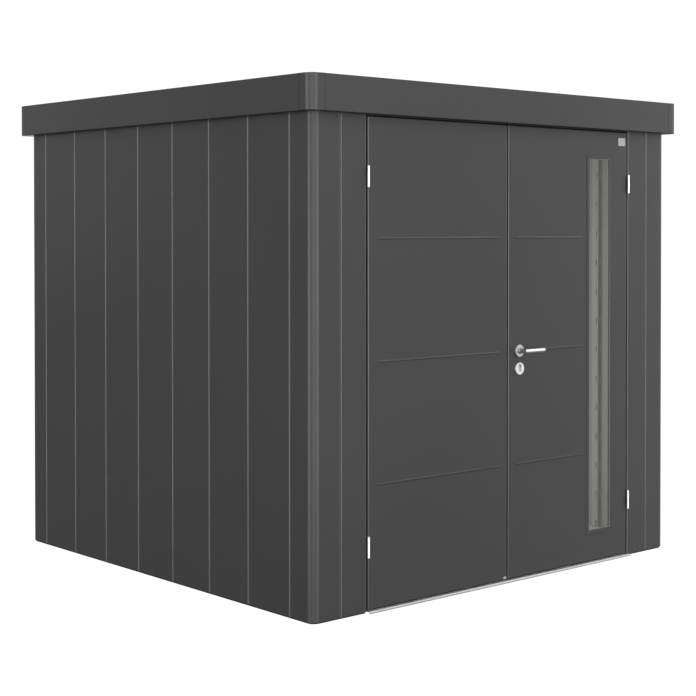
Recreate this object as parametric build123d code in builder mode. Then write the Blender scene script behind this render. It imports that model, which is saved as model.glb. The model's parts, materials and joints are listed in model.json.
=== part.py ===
from build123d import *
import os

# A flat-roofed metal tool shed with double doors, in millimetres.
# Origin: centre of the base on the ground. X runs right along the door front,
# Y runs from the door front to the back, Z runs up.

os.makedirs("parts", exist_ok=True)

# Overall sizes
wall_width = 2270.0
wall_depth = 2270.0
shed_height = 2220.0
roof_overhang = 45.0

# Sheet metal
sheet = 1.5
bend = 4.5
joint_gap = 2.0
seat = 0.3

# Walls
corner_leg = 148.0
corner_radius = 38.0
side_panels = 7
back_panels = 7
pan_flange = 22.0
wall_head_drop = 108.0

# Base and floor
rail_thickness = 6.0
rail_width = 60.0
rail_inset = 5.0
rail_upstand = 45.0
floor_top = 10.0
floor_sheet = 3.0
joist_width = 60.0
joist_count = 5

# Doorway
door_opening = 1694.0
side_gap = 9.0
meeting_gap = 8.0
foot_gap = 5.0
top_gap = 8.0
leaf_depth = 38.0
leaf_lip = 20.0
leaf_fold = 2.0
stop_gap = 6.0
stop_lip = 14.0
sill_nose = 20.0
sill_wall = 3.0

# Pressed beads on the leaves
bead_rise = 515.0
bead_drop = 505.0
bead_width = 13.0
bead_proud = 4.5
bead_slope = 45.0
bead_inset_hinge = 50.0
bead_inset_meeting = 47.0
bead_inset_window = 30.0

# Window strip in the right leaf, measured from the leaf's hinge edge
window_inset = 100.0
window_width = 198.0
window_rise = 121.0
window_drop = 110.0
window_groove = 1.5
frame_face = 20.0
frame_proud = 1.0
frame_depth = 14.0
frame_flange = 8.0
pane_thickness = 4.0
pane_lap = 6.0

# Lever, lock and badge plate, measured from the leaf's meeting edge
lever_inset = 69.0
lever_height = 1043.0
lever_reach = 122.0
lever_stand_off = 45.0
lever_radius = 9.5
lever_rounding = 2.0
spindle_side = 8.0
rose_radius = 27.5
rose_thickness = 8.0
key_drop = 81.0
cylinder_radius = 8.5
cylinder_height = 33.0
cylinder_stem = 10.0
cylinder_rise = 12.0
cylinder_proud = 3.0
case_width = 84.0
case_depth = 16.0
case_height = 235.0
faceplate_width = 20.0
cover_margin = 24.0
cover_foot = 16.0
badge_width = 50.0
badge_height = 38.0
badge_inset_hinge = 14.0
badge_top_drop = 26.0
badge_thickness = 1.5

# Stiffeners inside the leaves
stiffener_foot_rise = 265.0
stiffener_lock_drop = 212.5
stiffener_lock_rise = 297.5
stiffener_head_drop = 252.0
stiffener_foot = 16.0
stiffener_crown = 40.0
stiffener_rise = 25.0

# Shoot bolts and foot plate of the left leaf
bolt_inset = 30.0
bolt_radius = 5.0
bolt_length = 220.0
guide_width = 24.0
guide_height = 18.0
foot_plate_width = 18.0
foot_plate_height = 10.0

# Hinges
hinge_rise = 260.5
hinge_drop = 248.5
hinge_height = 88.0
knuckle_radius = 4.5
knuckle_proud = 9.0
knuckle_middle = 43.0
knuckle_gap = 0.5
pin_radius = 2.0
pin_clearance = 0.2
hinge_plate = 1.5
hinge_plate_depth = 30.0

# Slotted uprights inside the walls
upright_width = 40.0
upright_return = 8.0
slot_height = 30.0
slot_width = 6.0
slot_offset = -10.0
slot_pitch = 150.6
slot_first = 65.0
slot_margin = 40.0

# Roof
fascia_height = 150.0
fascia_radius = 42.0
fascia_corner_leg = 74.0
fascia_top_flange = 40.0
fascia_lip = 12.0
fascia_hem = 2.0
fascia_gap = 1.5
roof_fall = 25.0
deck_front_drop = 36.0
rib_height = 18.0
rib_top = 30.0
rib_foot = 60.0
ribs_per_sheet = 4
beam_width = 40.0
beam_count = 4
beam_margin = 85.0
gutter_height = 70.0
plate_web = 62.0
plate_outer = 10.0

# Worked-out sizes and places
half_width = wall_width / 2
half_depth = wall_depth / 2
front = -half_depth
roof_half_width = half_width + roof_overhang
roof_half_depth = half_depth + roof_overhang
fascia_foot = shed_height - fascia_height
wall_foot = rail_thickness + seat
wall_head = shed_height - wall_head_drop
leaf_foot = floor_top + foot_gap
leaf_head = fascia_foot - top_gap
leaf_width = (door_opening - 2 * side_gap - meeting_gap) / 2
leaf_outer = door_opening / 2 - side_gap
leaf_inner = meeting_gap / 2
jamb_edge = half_width - door_opening / 2
jamb_depth = leaf_depth + stop_gap
head_foot = leaf_head + stop_gap
plate_depth = pan_flange + seat
plate_foot = wall_head + seat - plate_web
plate_top = wall_head + seat + sheet
window_bottom = leaf_foot + window_rise
window_top = leaf_head - window_drop
bead_heights = (leaf_foot + bead_rise, lever_height, leaf_head - bead_drop)
hinge_heights = (leaf_foot + hinge_rise, leaf_head - hinge_drop)


def wall_plane(side, height):
    """Level plane at a wall's outer face: x along the wall, y into the shed."""
    corners = {
        "front": ((-half_width, -half_depth), (1, 0)),
        "right": ((half_width, -half_depth), (0, 1)),
        "back": ((half_width, half_depth), (-1, 0)),
        "left": ((-half_width, half_depth), (0, -1)),
    }
    (x, y), (along_x, along_y) = corners[side]
    return Plane(origin=(x, y, height), x_dir=(along_x, along_y, 0), z_dir=(0, 0, 1))


def section_plane(side, start):
    """Upright plane across a wall: x into the shed, y up, normal along the wall."""
    level = wall_plane(side, 0)
    return Plane(origin=level.origin + level.x_dir * start, x_dir=level.y_dir, z_dir=level.x_dir)


def shifted(points, distance):
    """The same line moved sideways, to its left where the distance is positive."""
    corners = [Vector(*point) for point in points]
    headings = [(after - before).normalized() for before, after in zip(corners, corners[1:])]
    normals = [Vector(-heading.Y, heading.X) for heading in headings]
    moved = []
    for corner, before, after in zip(corners, normals[:1] + normals, normals + normals[-1:]):
        step = (before + after) * (distance / (1 + before.dot(after)))
        moved.append((corner.X + step.X, corner.Y + step.Y))
    return moved


def turns(points):
    """For each corner of a line, 1 where it turns left and -1 where it turns right."""
    signs = []
    for before, corner, after in zip(points, points[1:], points[2:]):
        first_x, first_y = corner[0] - before[0], corner[1] - before[1]
        next_x, next_y = after[0] - corner[0], after[1] - corner[1]
        signs.append(1 if first_x * next_y > first_y * next_x else -1)
    return signs


def folded(points, radius=0, thickness=sheet, side=1, round_back=True):
    """Section of a folded sheet that follows the points.

    The sheet lies on the left of the line, or on its right where side is -1.
    radius rounds the line's corners, one value or one for each; 0 leaves sharp folds.
    round_back rounds the other face of the sheet too, so that it keeps its thickness in the folds.
    """
    back_points = shifted(points, side * thickness)
    with BuildSketch() as section:
        with BuildLine():
            if radius:
                radii = radius if isinstance(radius, list) else [radius] * (len(points) - 2)
                back_radii = [value - side * turn * thickness for value, turn in zip(radii, turns(points))]
                FilletPolyline(*points, radius=radii)
                if round_back:
                    FilletPolyline(*back_points, radius=back_radii)
                else:
                    Polyline(*back_points)
            else:
                Polyline(*points)
                Polyline(*back_points)
            Line(points[0], back_points[0])
            Line(points[-1], back_points[-1])
        make_face()
    return section.sketch


def bead(length, width):
    """A round-ended rib that stands on Z = 0 along X and narrows to its crown."""
    with BuildPart() as rib:
        with BuildSketch():
            SlotOverall(length, width)
        extrude(amount=bead_proud, taper=bead_slope)
    return rib.part


# Base rails: angles under the walls, the side ones rounded to the shed's corners
upstand_centre = plate_depth + rail_thickness / 2
with BuildPart() as base_rails:
    with BuildSketch(Plane.XY):
        RectangleRounded(wall_width - 2 * rail_inset, wall_depth - 2 * rail_inset, corner_radius - rail_inset)
        Rectangle(wall_width - 2 * rail_width, 2 * wall_depth, mode=Mode.SUBTRACT)
    extrude(amount=rail_thickness)
    with BuildSketch(Plane.XY.offset(rail_thickness)):
        with GridLocations(wall_width - 2 * upstand_centre, 0, 2, 1):
            Rectangle(rail_thickness, wall_depth - 2 * rail_width)
    extrude(amount=rail_upstand - rail_thickness)
    back_rail_length = wall_width - 2 * rail_width - 2 * seat
    front_rail_start = rail_width + seat
    front_rail_length = jamb_edge - bend - front_rail_start
    front_rail_middle = front_rail_start + front_rail_length / 2
    for rail_side, rail_middle, rail_length in (
        ("back", wall_width / 2, back_rail_length),
        ("front", front_rail_middle, front_rail_length),
        ("front", wall_width - front_rail_middle, front_rail_length),
    ):
        with BuildSketch(wall_plane(rail_side, 0)):
            with Locations((rail_middle, (rail_width + rail_inset) / 2)):
                Rectangle(rail_length, rail_width - rail_inset)
        extrude(amount=rail_thickness)
        with BuildSketch(wall_plane(rail_side, rail_thickness)):
            with Locations((rail_middle, upstand_centre)):
                Rectangle(rail_length, rail_thickness)
        extrude(amount=rail_upstand - rail_thickness)
base_rails.part.label = "base_rails"
export_step(base_rails.part, "parts/base_rails.step")

# Sill: a hollow aluminium step whose nose stands in front of the leaves
with BuildPart() as door_sill:
    with BuildSketch(section_plane("front", jamb_edge + seat)):
        with BuildLine():
            Polyline(
                (-sill_nose, 0),
                (-sill_nose, floor_top - sill_wall),
                (-sill_nose + sill_wall, floor_top),
                (rail_width, floor_top),
                (rail_width, 0),
                (rail_width - sill_wall, 0),
                (rail_width - sill_wall, floor_top - sill_wall),
                (-sill_nose + sill_wall, floor_top - sill_wall),
                (-sill_nose + sill_wall, 0),
                close=True,
            )
        make_face()
    extrude(amount=door_opening - 2 * seat)
door_sill.part.label = "door_sill"
export_step(door_sill.part, "parts/door_sill.step")

# Floor: flat bars on the ground carry two plates of tread sheet
floor_length = wall_depth - 2 * rail_width - 2 * seat
with BuildPart() as floor_joists:
    joist_span = wall_width - 2 * rail_width - joist_width - 2 * seat
    with BuildSketch(Plane.XY):
        with GridLocations(joist_span / (joist_count - 1), 0, joist_count, 1):
            Rectangle(joist_width, floor_length)
    extrude(amount=floor_top - floor_sheet - seat)
floor_joists.part.label = "floor_joists"
export_step(floor_joists.part, "parts/floor_joists.step")

floor_edge = half_width - plate_depth - rail_thickness - seat
for floor_name, floor_side in (("floor_panel_left", -1), ("floor_panel_right", 1)):
    with BuildPart() as floor_panel:
        with BuildSketch(Plane.XY.offset(floor_top - floor_sheet)):
            with Locations((floor_side * (floor_edge + joint_gap / 2) / 2, 0)):
                Rectangle(floor_edge - joint_gap / 2, floor_length)
        extrude(amount=floor_sheet)
    floor_panel.part.label = floor_name
    export_step(floor_panel.part, f"parts/{floor_name}.step")

# Corner panels: one sheet folded round each corner of the shed
leg_end = corner_leg - joint_gap / 2
corner_points = [(pan_flange, leg_end), (0, leg_end), (0, 0), (leg_end, 0), (leg_end, pan_flange)]
for corner_name, corner_side in (
    ("corner_front_left", "front"),
    ("corner_front_right", "right"),
    ("corner_back_right", "back"),
    ("corner_back_left", "left"),
):
    with BuildPart() as corner_panel:
        with BuildSketch(wall_plane(corner_side, wall_foot)):
            add(folded(corner_points, radius=[bend, corner_radius, bend]))
        extrude(amount=wall_head - wall_foot)
    corner_panel.part.label = corner_name
    export_step(corner_panel.part, f"parts/{corner_name}.step")

# Side and back walls: rows of folded pans, flange to flange
for wall_name, wall_side, wall_length, pan_count in (
    ("left_wall", "left", wall_depth, side_panels),
    ("right_wall", "right", wall_depth, side_panels),
    ("back_wall", "back", wall_width, back_panels),
):
    pan_pitch = (wall_length - 2 * corner_leg) / pan_count
    with BuildPart() as wall:
        with BuildSketch(wall_plane(wall_side, wall_foot)):
            for pan in range(pan_count):
                pan_start = corner_leg + pan * pan_pitch + joint_gap / 2
                pan_end = pan_start + pan_pitch - joint_gap
                pan_points = [(pan_start, pan_flange), (pan_start, 0), (pan_end, 0), (pan_end, pan_flange)]
                add(folded(pan_points, bend, round_back=False))
        extrude(amount=wall_head - wall_foot)
    wall.part.label = wall_name
    export_step(wall.part, f"parts/{wall_name}.step")

# Front panels: beside the doorway, with the jamb and the stop folded from the same sheet
jamb_start = corner_leg + joint_gap / 2
jamb_points = [
    (jamb_start, pan_flange),
    (jamb_start, 0),
    (jamb_edge, 0),
    (jamb_edge, jamb_depth),
    (jamb_edge + stop_lip, jamb_depth),
]
with BuildPart() as front_panel_left:
    with BuildSketch(wall_plane("front", wall_foot)):
        add(folded(jamb_points, bend))
    extrude(amount=wall_head - wall_foot)
    stop_head = head_foot - stop_lip - seat
    for cut_foot, cut_head in ((wall_foot, floor_top + seat), (stop_head, wall_head)):
        with BuildSketch(wall_plane("front", cut_foot)):
            with Locations((jamb_edge + stop_lip / 2, jamb_depth)):
                Rectangle(stop_lip, stop_lip)
        extrude(amount=cut_head - cut_foot, mode=Mode.SUBTRACT)
front_panel_left.part.label = "front_panel_left"
export_step(front_panel_left.part, "parts/front_panel_left.step")

with BuildPart() as front_panel_right:
    add(front_panel_left.part)
    mirror(about=Plane.YZ, mode=Mode.REPLACE)
front_panel_right.part.label = "front_panel_right"
export_step(front_panel_right.part, "parts/front_panel_right.step")

# Door head: a channel over the doorway with a stop behind the leaves
with BuildPart() as door_head:
    with BuildSketch(section_plane("front", jamb_edge + seat)):
        add(
            folded(
                [
                    (jamb_depth, head_foot - stop_lip),
                    (jamb_depth, head_foot),
                    (0, head_foot),
                    (0, wall_head),
                    (jamb_depth - bend, wall_head),
                ],
                side=-1,
            )
        )
    extrude(amount=door_opening - 2 * seat)
door_head.part.label = "door_head"
export_step(door_head.part, "parts/door_head.step")

# Wall plates: angles on top of the walls that carry the roof beams
plate_rest = (plate_outer, wall_head + seat)
with BuildPart() as wall_plates:
    for plate_side, plate_length in (("left", wall_depth), ("right", wall_depth)):
        with BuildSketch(section_plane(plate_side, plate_outer)):
            add(folded([(plate_depth, plate_foot), (plate_depth, wall_head + seat), plate_rest], side=-1))
        extrude(amount=plate_length - 2 * plate_outer)
    end_start = plate_depth + sheet + joint_gap
    for plate_side, web_depth, web_foot in (
        ("back", plate_depth, plate_foot),
        ("front", jamb_depth + sheet + seat, head_foot),
    ):
        with BuildSketch(section_plane(plate_side, end_start)):
            add(folded([(web_depth, web_foot), (web_depth, wall_head + seat), plate_rest], side=-1))
        extrude(amount=wall_width - 2 * end_start)
wall_plates.part.label = "wall_plates"
export_step(wall_plates.part, "parts/wall_plates.step")

# Slotted uprights: channels over the pan flanges, at a wall's first and last pan joints
upright_face = pan_flange + seat + sheet
slot_count = 1 + int((plate_foot - slot_first - slot_height - slot_margin) / slot_pitch)


def slotted_uprights(side, wall_length, pan_count):
    """The uprights of one wall, each a channel with a column of shelf slots."""
    pan_pitch = (wall_length - 2 * corner_leg) / pan_count
    joints = [corner_leg + joint * pan_pitch for joint in (1, pan_count - 1)]
    level = wall_plane(side, 0)
    slot_plane = Plane(
        origin=level.origin + level.y_dir * (upright_face + joint_gap),
        x_dir=level.x_dir,
        z_dir=-level.y_dir,
    )
    with BuildPart() as uprights:
        with BuildSketch(wall_plane(side, rail_upstand + joint_gap)):
            for joint in joints:
                near = joint - upright_width / 2
                far = joint + upright_width / 2
                back = upright_face - upright_return
                add(folded([(far, back), (far, upright_face), (near, upright_face), (near, back)]))
        extrude(amount=plate_foot - rail_upstand - 2 * joint_gap)
        with BuildSketch(slot_plane):
            for joint in joints:
                for slot in range(slot_count):
                    slot_x = slot_plane.to_local_coords(level.origin + level.x_dir * (joint + slot_offset)).X
                    with Locations((slot_x, slot_first + slot * slot_pitch)):
                        Rectangle(slot_width, slot_height)
        extrude(amount=sheet + 2 * joint_gap, mode=Mode.SUBTRACT)
    return uprights.part


with BuildPart() as uprights_right:
    add(slotted_uprights("right", wall_depth, side_panels))
uprights_right.part.label = "uprights_right"
export_step(uprights_right.part, "parts/uprights_right.step")

with BuildPart() as uprights_left:
    add(uprights_right.part)
    mirror(about=Plane.YZ, mode=Mode.REPLACE)
uprights_left.part.label = "uprights_left"
export_step(uprights_left.part, "parts/uprights_left.step")

with BuildPart() as uprights_back:
    add(slotted_uprights("back", wall_width, back_panels))
uprights_back.part.label = "uprights_back"
export_step(uprights_back.part, "parts/uprights_back.step")


# Fascia: a deep folded edge all round the roof, in four lengths and four corner pieces
def fascia_ring():
    """The whole fascia in one piece: face, soffit, top flange and turned-down lip."""
    outer_width = 2 * roof_half_width
    outer_depth = 2 * roof_half_depth
    with BuildPart() as ring:
        for foot, height, inset, radius in (
            (fascia_foot, fascia_height, sheet, fascia_radius - sheet),
            (fascia_foot, sheet, roof_overhang - seat, corner_radius + seat),
            (shed_height - sheet, sheet, fascia_top_flange, sheet),
        ):
            with BuildSketch(Plane.XY.offset(foot)):
                RectangleRounded(outer_width, outer_depth, fascia_radius)
                RectangleRounded(outer_width - 2 * inset, outer_depth - 2 * inset, radius, mode=Mode.SUBTRACT)
            extrude(amount=height)
        foot_edges = ring.faces().sort_by(Axis.Z)[0].outer_wire().edges()
        chamfer(foot_edges, fascia_hem)
        with BuildSketch(Plane.XY.offset(shed_height - fascia_lip)):
            lip_width = outer_width - 2 * fascia_top_flange
            lip_depth = outer_depth - 2 * fascia_top_flange
            Rectangle(lip_width + 2 * sheet, lip_depth + 2 * sheet)
            Rectangle(lip_width, lip_depth, mode=Mode.SUBTRACT)
        extrude(amount=fascia_lip)
    return ring.part


whole_fascia = fascia_ring()
front_run = 2 * (roof_half_width - fascia_corner_leg - fascia_gap)
side_run = 2 * (roof_half_depth - fascia_corner_leg - fascia_gap)
for fascia_name, centre_x, centre_y, size_x, size_y in (
    ("fascia_front", 0, -roof_half_depth, front_run, 2 * fascia_corner_leg),
    ("fascia_back", 0, roof_half_depth, front_run, 2 * fascia_corner_leg),
    ("fascia_left", -roof_half_width, 0, 2 * fascia_corner_leg, side_run),
    ("fascia_right", roof_half_width, 0, 2 * fascia_corner_leg, side_run),
):
    with BuildPart() as fascia:
        add(whole_fascia)
        with BuildSketch(Plane.XY.offset(fascia_foot)):
            with Locations((centre_x, centre_y)):
                Rectangle(size_x, size_y)
        extrude(amount=fascia_height, mode=Mode.INTERSECT)
    fascia.part.label = fascia_name
    export_step(fascia.part, f"parts/{fascia_name}.step")

with BuildPart() as fascia_corners:
    add(whole_fascia)
    with BuildSketch(Plane.XY.offset(fascia_foot)):
        with GridLocations(2 * roof_half_width, 2 * roof_half_depth, 2, 2):
            Rectangle(2 * fascia_corner_leg, 2 * fascia_corner_leg)
    extrude(amount=fascia_height, mode=Mode.INTERSECT)
fascia_corners.part.label = "fascia_corners"
export_step(fascia_corners.part, "parts/fascia_corners.step")

# Roof deck: two ribbed sheets that fall a little to the back
deck_margin = fascia_radius - (fascia_radius - sheet - 2 * seat) / 2**0.5
deck_half_width = roof_half_width - deck_margin
deck_half_depth = roof_half_depth - deck_margin
deck_length = 2 * deck_half_depth
deck_front_height = shed_height - deck_front_drop
deck_back_height = deck_front_height - roof_fall


def deck_height(y):
    """Height of the deck's underside at a distance from the shed's middle."""
    return deck_front_height - roof_fall * (y + deck_half_depth) / deck_length


def deck_outline(start, end):
    """Line along the underside of a ribbed sheet, from one edge to the other."""
    points = [(start, 0)]
    rib_pitch = (end - start) / ribs_per_sheet
    for rib in range(ribs_per_sheet):
        middle = start + (rib + 0.5) * rib_pitch
        points += [
            (middle - rib_foot / 2, 0),
            (middle - rib_top / 2, rib_height),
            (middle + rib_top / 2, rib_height),
            (middle + rib_foot / 2, 0),
        ]
    return points + [(end, 0)]


deck_plane = Plane(
    origin=(0, deck_half_depth, deck_back_height),
    x_dir=(1, 0, 0),
    z_dir=(0, -deck_length, roof_fall),
)
for deck_name, deck_start, deck_end in (
    ("roof_deck_left", -deck_half_width, -joint_gap / 2),
    ("roof_deck_right", joint_gap / 2, deck_half_width),
):
    with BuildPart() as roof_deck:
        with BuildSketch(deck_plane):
            add(folded(deck_outline(deck_start, deck_end)))
        extrude(amount=deck_length)
    roof_deck.part.label = deck_name
    export_step(roof_deck.part, f"parts/{deck_name}.step")

# Roof beams: channels from side wall to side wall, each as tall as the fall leaves
with BuildPart() as roof_beams:
    beam_span = 2 * (half_depth - beam_margin)
    for beam in range(beam_count):
        beam_y = -beam_span / 2 + beam * beam_span / (beam_count - 1)
        beam_foot = plate_top + seat
        beam_head = deck_height(beam_y + beam_width / 2) - seat
        beam_near = beam_y - beam_width / 2
        beam_far = beam_y + beam_width / 2
        with BuildSketch(Plane.YZ.offset(-half_width + plate_outer)):
            add(
                folded(
                    [
                        (beam_far, beam_foot),
                        (beam_near, beam_foot),
                        (beam_near, beam_head),
                        (beam_far, beam_head),
                    ],
                    side=-1,
                )
            )
        extrude(amount=wall_width - 2 * plate_outer)
roof_beams.part.label = "roof_beams"
export_step(roof_beams.part, "parts/roof_beams.step")

# Rear gutter: a trough between the back wall and the fascia, under the deck's low edge
with BuildPart() as rear_gutter:
    gutter_near = half_depth + seat
    gutter_far = roof_half_depth - sheet - seat
    gutter_foot = fascia_foot + sheet + seat
    with BuildSketch(Plane.YZ.offset(-half_width)):
        add(
            folded(
                [
                    (gutter_near, gutter_foot + gutter_height),
                    (gutter_near, gutter_foot),
                    (gutter_far, gutter_foot),
                    (gutter_far, gutter_foot + gutter_height),
                ]
            )
        )
    extrude(amount=wall_width)
rear_gutter.part.label = "rear_gutter"
export_step(rear_gutter.part, "parts/rear_gutter.step")

# Hinges: a fixed half on each jamb and a turning half on each leaf
axis_x = -leaf_outer - side_gap / 2
axis_y = front - knuckle_proud
plate_near = front + knuckle_radius - knuckle_proud + sheet
plate_far = front + hinge_plate_depth


def knuckle(foot, head):
    """One barrel of a hinge between two heights, at the left leaf's axis."""
    with BuildPart() as barrel:
        with BuildSketch(Plane.XY.offset(foot)):
            with Locations((axis_x, axis_y)):
                Circle(knuckle_radius)
        extrude(amount=head - foot)
    return barrel.part


def hinge_leaf(inner_x, outer_x, foot, head, near):
    """A flat hinge plate between two x values, two heights and from near to its back edge."""
    with BuildPart() as plate:
        with BuildSketch(Plane.XY.offset(foot)):
            with Locations(((inner_x + outer_x) / 2, (near + plate_far) / 2)):
                Rectangle(outer_x - inner_x, plate_far - near)
        extrude(amount=head - foot)
    return plate.part


jamb_plate_x = -door_opening / 2 + seat
leaf_plate_x = -leaf_outer - seat - hinge_plate
with BuildPart() as frame_hinges:
    for hinge_z in hinge_heights:
        low = hinge_z - hinge_height / 2
        high = hinge_z + hinge_height / 2
        middle_low = hinge_z - knuckle_middle / 2 - knuckle_gap
        middle_high = hinge_z + knuckle_middle / 2 + knuckle_gap
        add(hinge_leaf(jamb_plate_x, jamb_plate_x + hinge_plate, low, high, plate_near))
        for foot, head in ((low, middle_low), (middle_high, high)):
            add(knuckle(foot, head))
            add(hinge_leaf(jamb_plate_x, jamb_plate_x + hinge_plate, foot, head, axis_y))
        with BuildSketch(Plane.XY.offset(low)):
            with Locations((axis_x, axis_y)):
                Circle(pin_radius)
        extrude(amount=hinge_height)
    mirror(about=Plane.YZ)
frame_hinges.part.label = "frame_hinges"
export_step(frame_hinges.part, "parts/frame_hinges.step")

with BuildPart() as left_leaf_hinges:
    for hinge_z in hinge_heights:
        middle_low = hinge_z - knuckle_middle / 2
        middle_high = hinge_z + knuckle_middle / 2
        low = hinge_z - hinge_height / 2
        high = hinge_z + hinge_height / 2
        add(hinge_leaf(leaf_plate_x, leaf_plate_x + hinge_plate, low, high, plate_near))
        add(knuckle(middle_low, middle_high))
        add(hinge_leaf(leaf_plate_x, leaf_plate_x + hinge_plate, middle_low, middle_high, axis_y))
        with BuildSketch(Plane.XY.offset(middle_low)):
            with Locations((axis_x, axis_y)):
                Circle(pin_radius + pin_clearance)
        extrude(amount=knuckle_middle, mode=Mode.SUBTRACT)
left_leaf_hinges.part.label = "left_leaf_hinges"
export_step(left_leaf_hinges.part, "parts/left_leaf_hinges.step")

with BuildPart() as right_leaf_hinges:
    add(left_leaf_hinges.part)
    mirror(about=Plane.YZ, mode=Mode.REPLACE)
right_leaf_hinges.part.label = "right_leaf_hinges"
export_step(right_leaf_hinges.part, "parts/right_leaf_hinges.step")

# Leaves: each a folded tray with a closed foot and head and three pressed beads
leaf_height = leaf_head - leaf_foot
leaf_points = [
    (leaf_lip, leaf_depth),
    (0, leaf_depth),
    (0, 0),
    (leaf_width, 0),
    (leaf_width, leaf_depth),
    (leaf_width - leaf_lip, leaf_depth),
]


def leaf_tray(left_edge):
    """The bare tray of a leaf whose left edge is at the given x."""
    with BuildPart() as tray:
        with BuildSketch(Plane((left_edge, front, leaf_foot))):
            add(folded(leaf_points, bend))
        extrude(amount=leaf_height)
        for cap_foot in (leaf_foot, leaf_head - sheet):
            with BuildSketch(Plane.XY.offset(cap_foot)):
                with Locations((left_edge + leaf_width / 2, front + leaf_depth / 2)):
                    Rectangle(leaf_width - bend, leaf_depth - sheet)
            extrude(amount=sheet)
        for edge_z, inward in ((leaf_foot, 1), (leaf_head, -1)):
            with BuildSketch(Plane.YZ.offset(left_edge)):
                with Locations((front + leaf_fold / 2, edge_z + inward * leaf_fold / 2)):
                    Rectangle(leaf_fold, leaf_fold)
                with Locations((front + leaf_fold, edge_z + inward * leaf_fold)):
                    Circle(leaf_fold, mode=Mode.SUBTRACT)
            extrude(amount=leaf_width, mode=Mode.SUBTRACT)
    return tray.part


def pressed_bead(start, end, height):
    """A bead on a leaf's face from one x to another: its rib, and the hollow behind it."""
    face = Plane(((start + end) / 2, front, height), x_dir=(1, 0, 0), z_dir=(0, -1, 0))
    rib = face * bead(end - start, bead_width)
    hollow = face.offset(-sheet) * bead(end - start - sheet, bead_width - sheet)
    return rib, hollow


bolt_x = -leaf_inner - bolt_inset
bolt_y = front + leaf_depth / 2
with BuildPart() as left_leaf_skin:
    add(leaf_tray(-leaf_outer))
    left_bead_start = -leaf_outer + bead_inset_hinge
    left_bead_end = -leaf_inner - bead_inset_meeting
    for bead_z in bead_heights:
        rib, hollow = pressed_bead(left_bead_start, left_bead_end, bead_z)
        add(rib)
        add(hollow, mode=Mode.SUBTRACT)
    for cap_foot in (leaf_foot, leaf_head - sheet):
        with BuildSketch(Plane.XY.offset(cap_foot)):
            with Locations((bolt_x, bolt_y)):
                Circle(bolt_radius + seat)
        extrude(amount=sheet, mode=Mode.SUBTRACT)
left_leaf_skin.part.label = "left_leaf_skin"
export_step(left_leaf_skin.part, "parts/left_leaf_skin.step")

window_right = leaf_outer - window_inset
window_left = window_right - window_width
window_middle = (window_left + window_right) / 2
window_height = window_top - window_bottom
window_z = (window_top + window_bottom) / 2
lever_x = leaf_inner + lever_inset
key_height = lever_height - key_drop
plug_height = key_height + cylinder_rise
badge_x = leaf_outer - badge_inset_hinge - badge_width / 2
badge_z = leaf_head - badge_top_drop - badge_height / 2
case_front = (leaf_depth - case_depth) / 2
case_x = leaf_inner + sheet + seat + case_width / 2
case_z = (lever_height + key_height) / 2


def cylinder_outline(clearance):
    """Outline of the lock cylinder: a round plug with a stem below it."""
    with BuildSketch() as outline:
        Circle(cylinder_radius + clearance)
        stem_foot = cylinder_radius - cylinder_height - clearance
        with Locations((0, stem_foot / 2)):
            Rectangle(cylinder_stem + 2 * clearance, -stem_foot)
    return outline.sketch


# Drawing plane on the outer face of the leaves: x right, y up, normal out of the shed
face_plane = Plane(origin=(0, front, 0), x_dir=(1, 0, 0), z_dir=(0, -1, 0))

# Drawing plane on the right leaf's meeting edge: x into the shed, y up, normal into the leaf
stile_plane = Plane(origin=(leaf_inner, front + leaf_depth / 2, 0), x_dir=(0, 1, 0), z_dir=(1, 0, 0))

with BuildPart() as right_leaf_skin:
    add(leaf_tray(leaf_inner))
    right_bead_end = window_left - bead_inset_window
    for bead_z in bead_heights:
        right_bead_start = leaf_inner + bead_inset_meeting
        if abs(bead_z - lever_height) < rose_radius:
            right_bead_start = lever_x + rose_radius + joint_gap
        rib, hollow = pressed_bead(right_bead_start, right_bead_end, bead_z)
        add(rib)
        add(hollow, mode=Mode.SUBTRACT)
    with BuildSketch(stile_plane):
        with Locations((0, case_z)):
            Rectangle(faceplate_width + 2 * seat, case_height + 2 * seat)
    extrude(amount=sheet, mode=Mode.SUBTRACT)
    with BuildSketch(face_plane.offset(sheet)):
        with Locations((window_middle, window_z)):
            Rectangle(window_width, window_height)
        with Locations((lever_x, lever_height)):
            Circle(lever_radius + 2 * seat)
        with Locations((lever_x, plug_height)):
            add(cylinder_outline(seat))
    extrude(amount=-3 * sheet, mode=Mode.SUBTRACT)
right_leaf_skin.part.label = "right_leaf_skin"
export_step(right_leaf_skin.part, "parts/right_leaf_skin.step")

# Stiffeners: top-hat bars across the inside of each leaf
stiffener_heights = (
    leaf_foot + stiffener_foot_rise,
    case_z - stiffener_lock_drop,
    case_z + stiffener_lock_rise,
    leaf_head - stiffener_head_drop,
)


def stiffener_bars(start, end):
    """Top-hat bars across the inside of a leaf from one x to another."""
    low = front + sheet + seat
    high = low + stiffener_rise
    half_crown = stiffener_crown / 2
    with BuildPart() as bars:
        with BuildSketch(Plane.YZ.offset(start)):
            for z in stiffener_heights:
                add(
                    folded(
                        [
                            (low, z - half_crown - stiffener_foot),
                            (low, z - half_crown),
                            (high, z - half_crown),
                            (high, z + half_crown),
                            (low, z + half_crown),
                            (low, z + half_crown + stiffener_foot),
                        ],
                        side=-1,
                    )
                )
        extrude(amount=end - start)
    return bars.part


with BuildPart() as left_leaf_stiffeners:
    add(stiffener_bars(-leaf_outer + bend, -leaf_inner - bend))
left_leaf_stiffeners.part.label = "left_leaf_stiffeners"
export_step(left_leaf_stiffeners.part, "parts/left_leaf_stiffeners.step")

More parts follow.
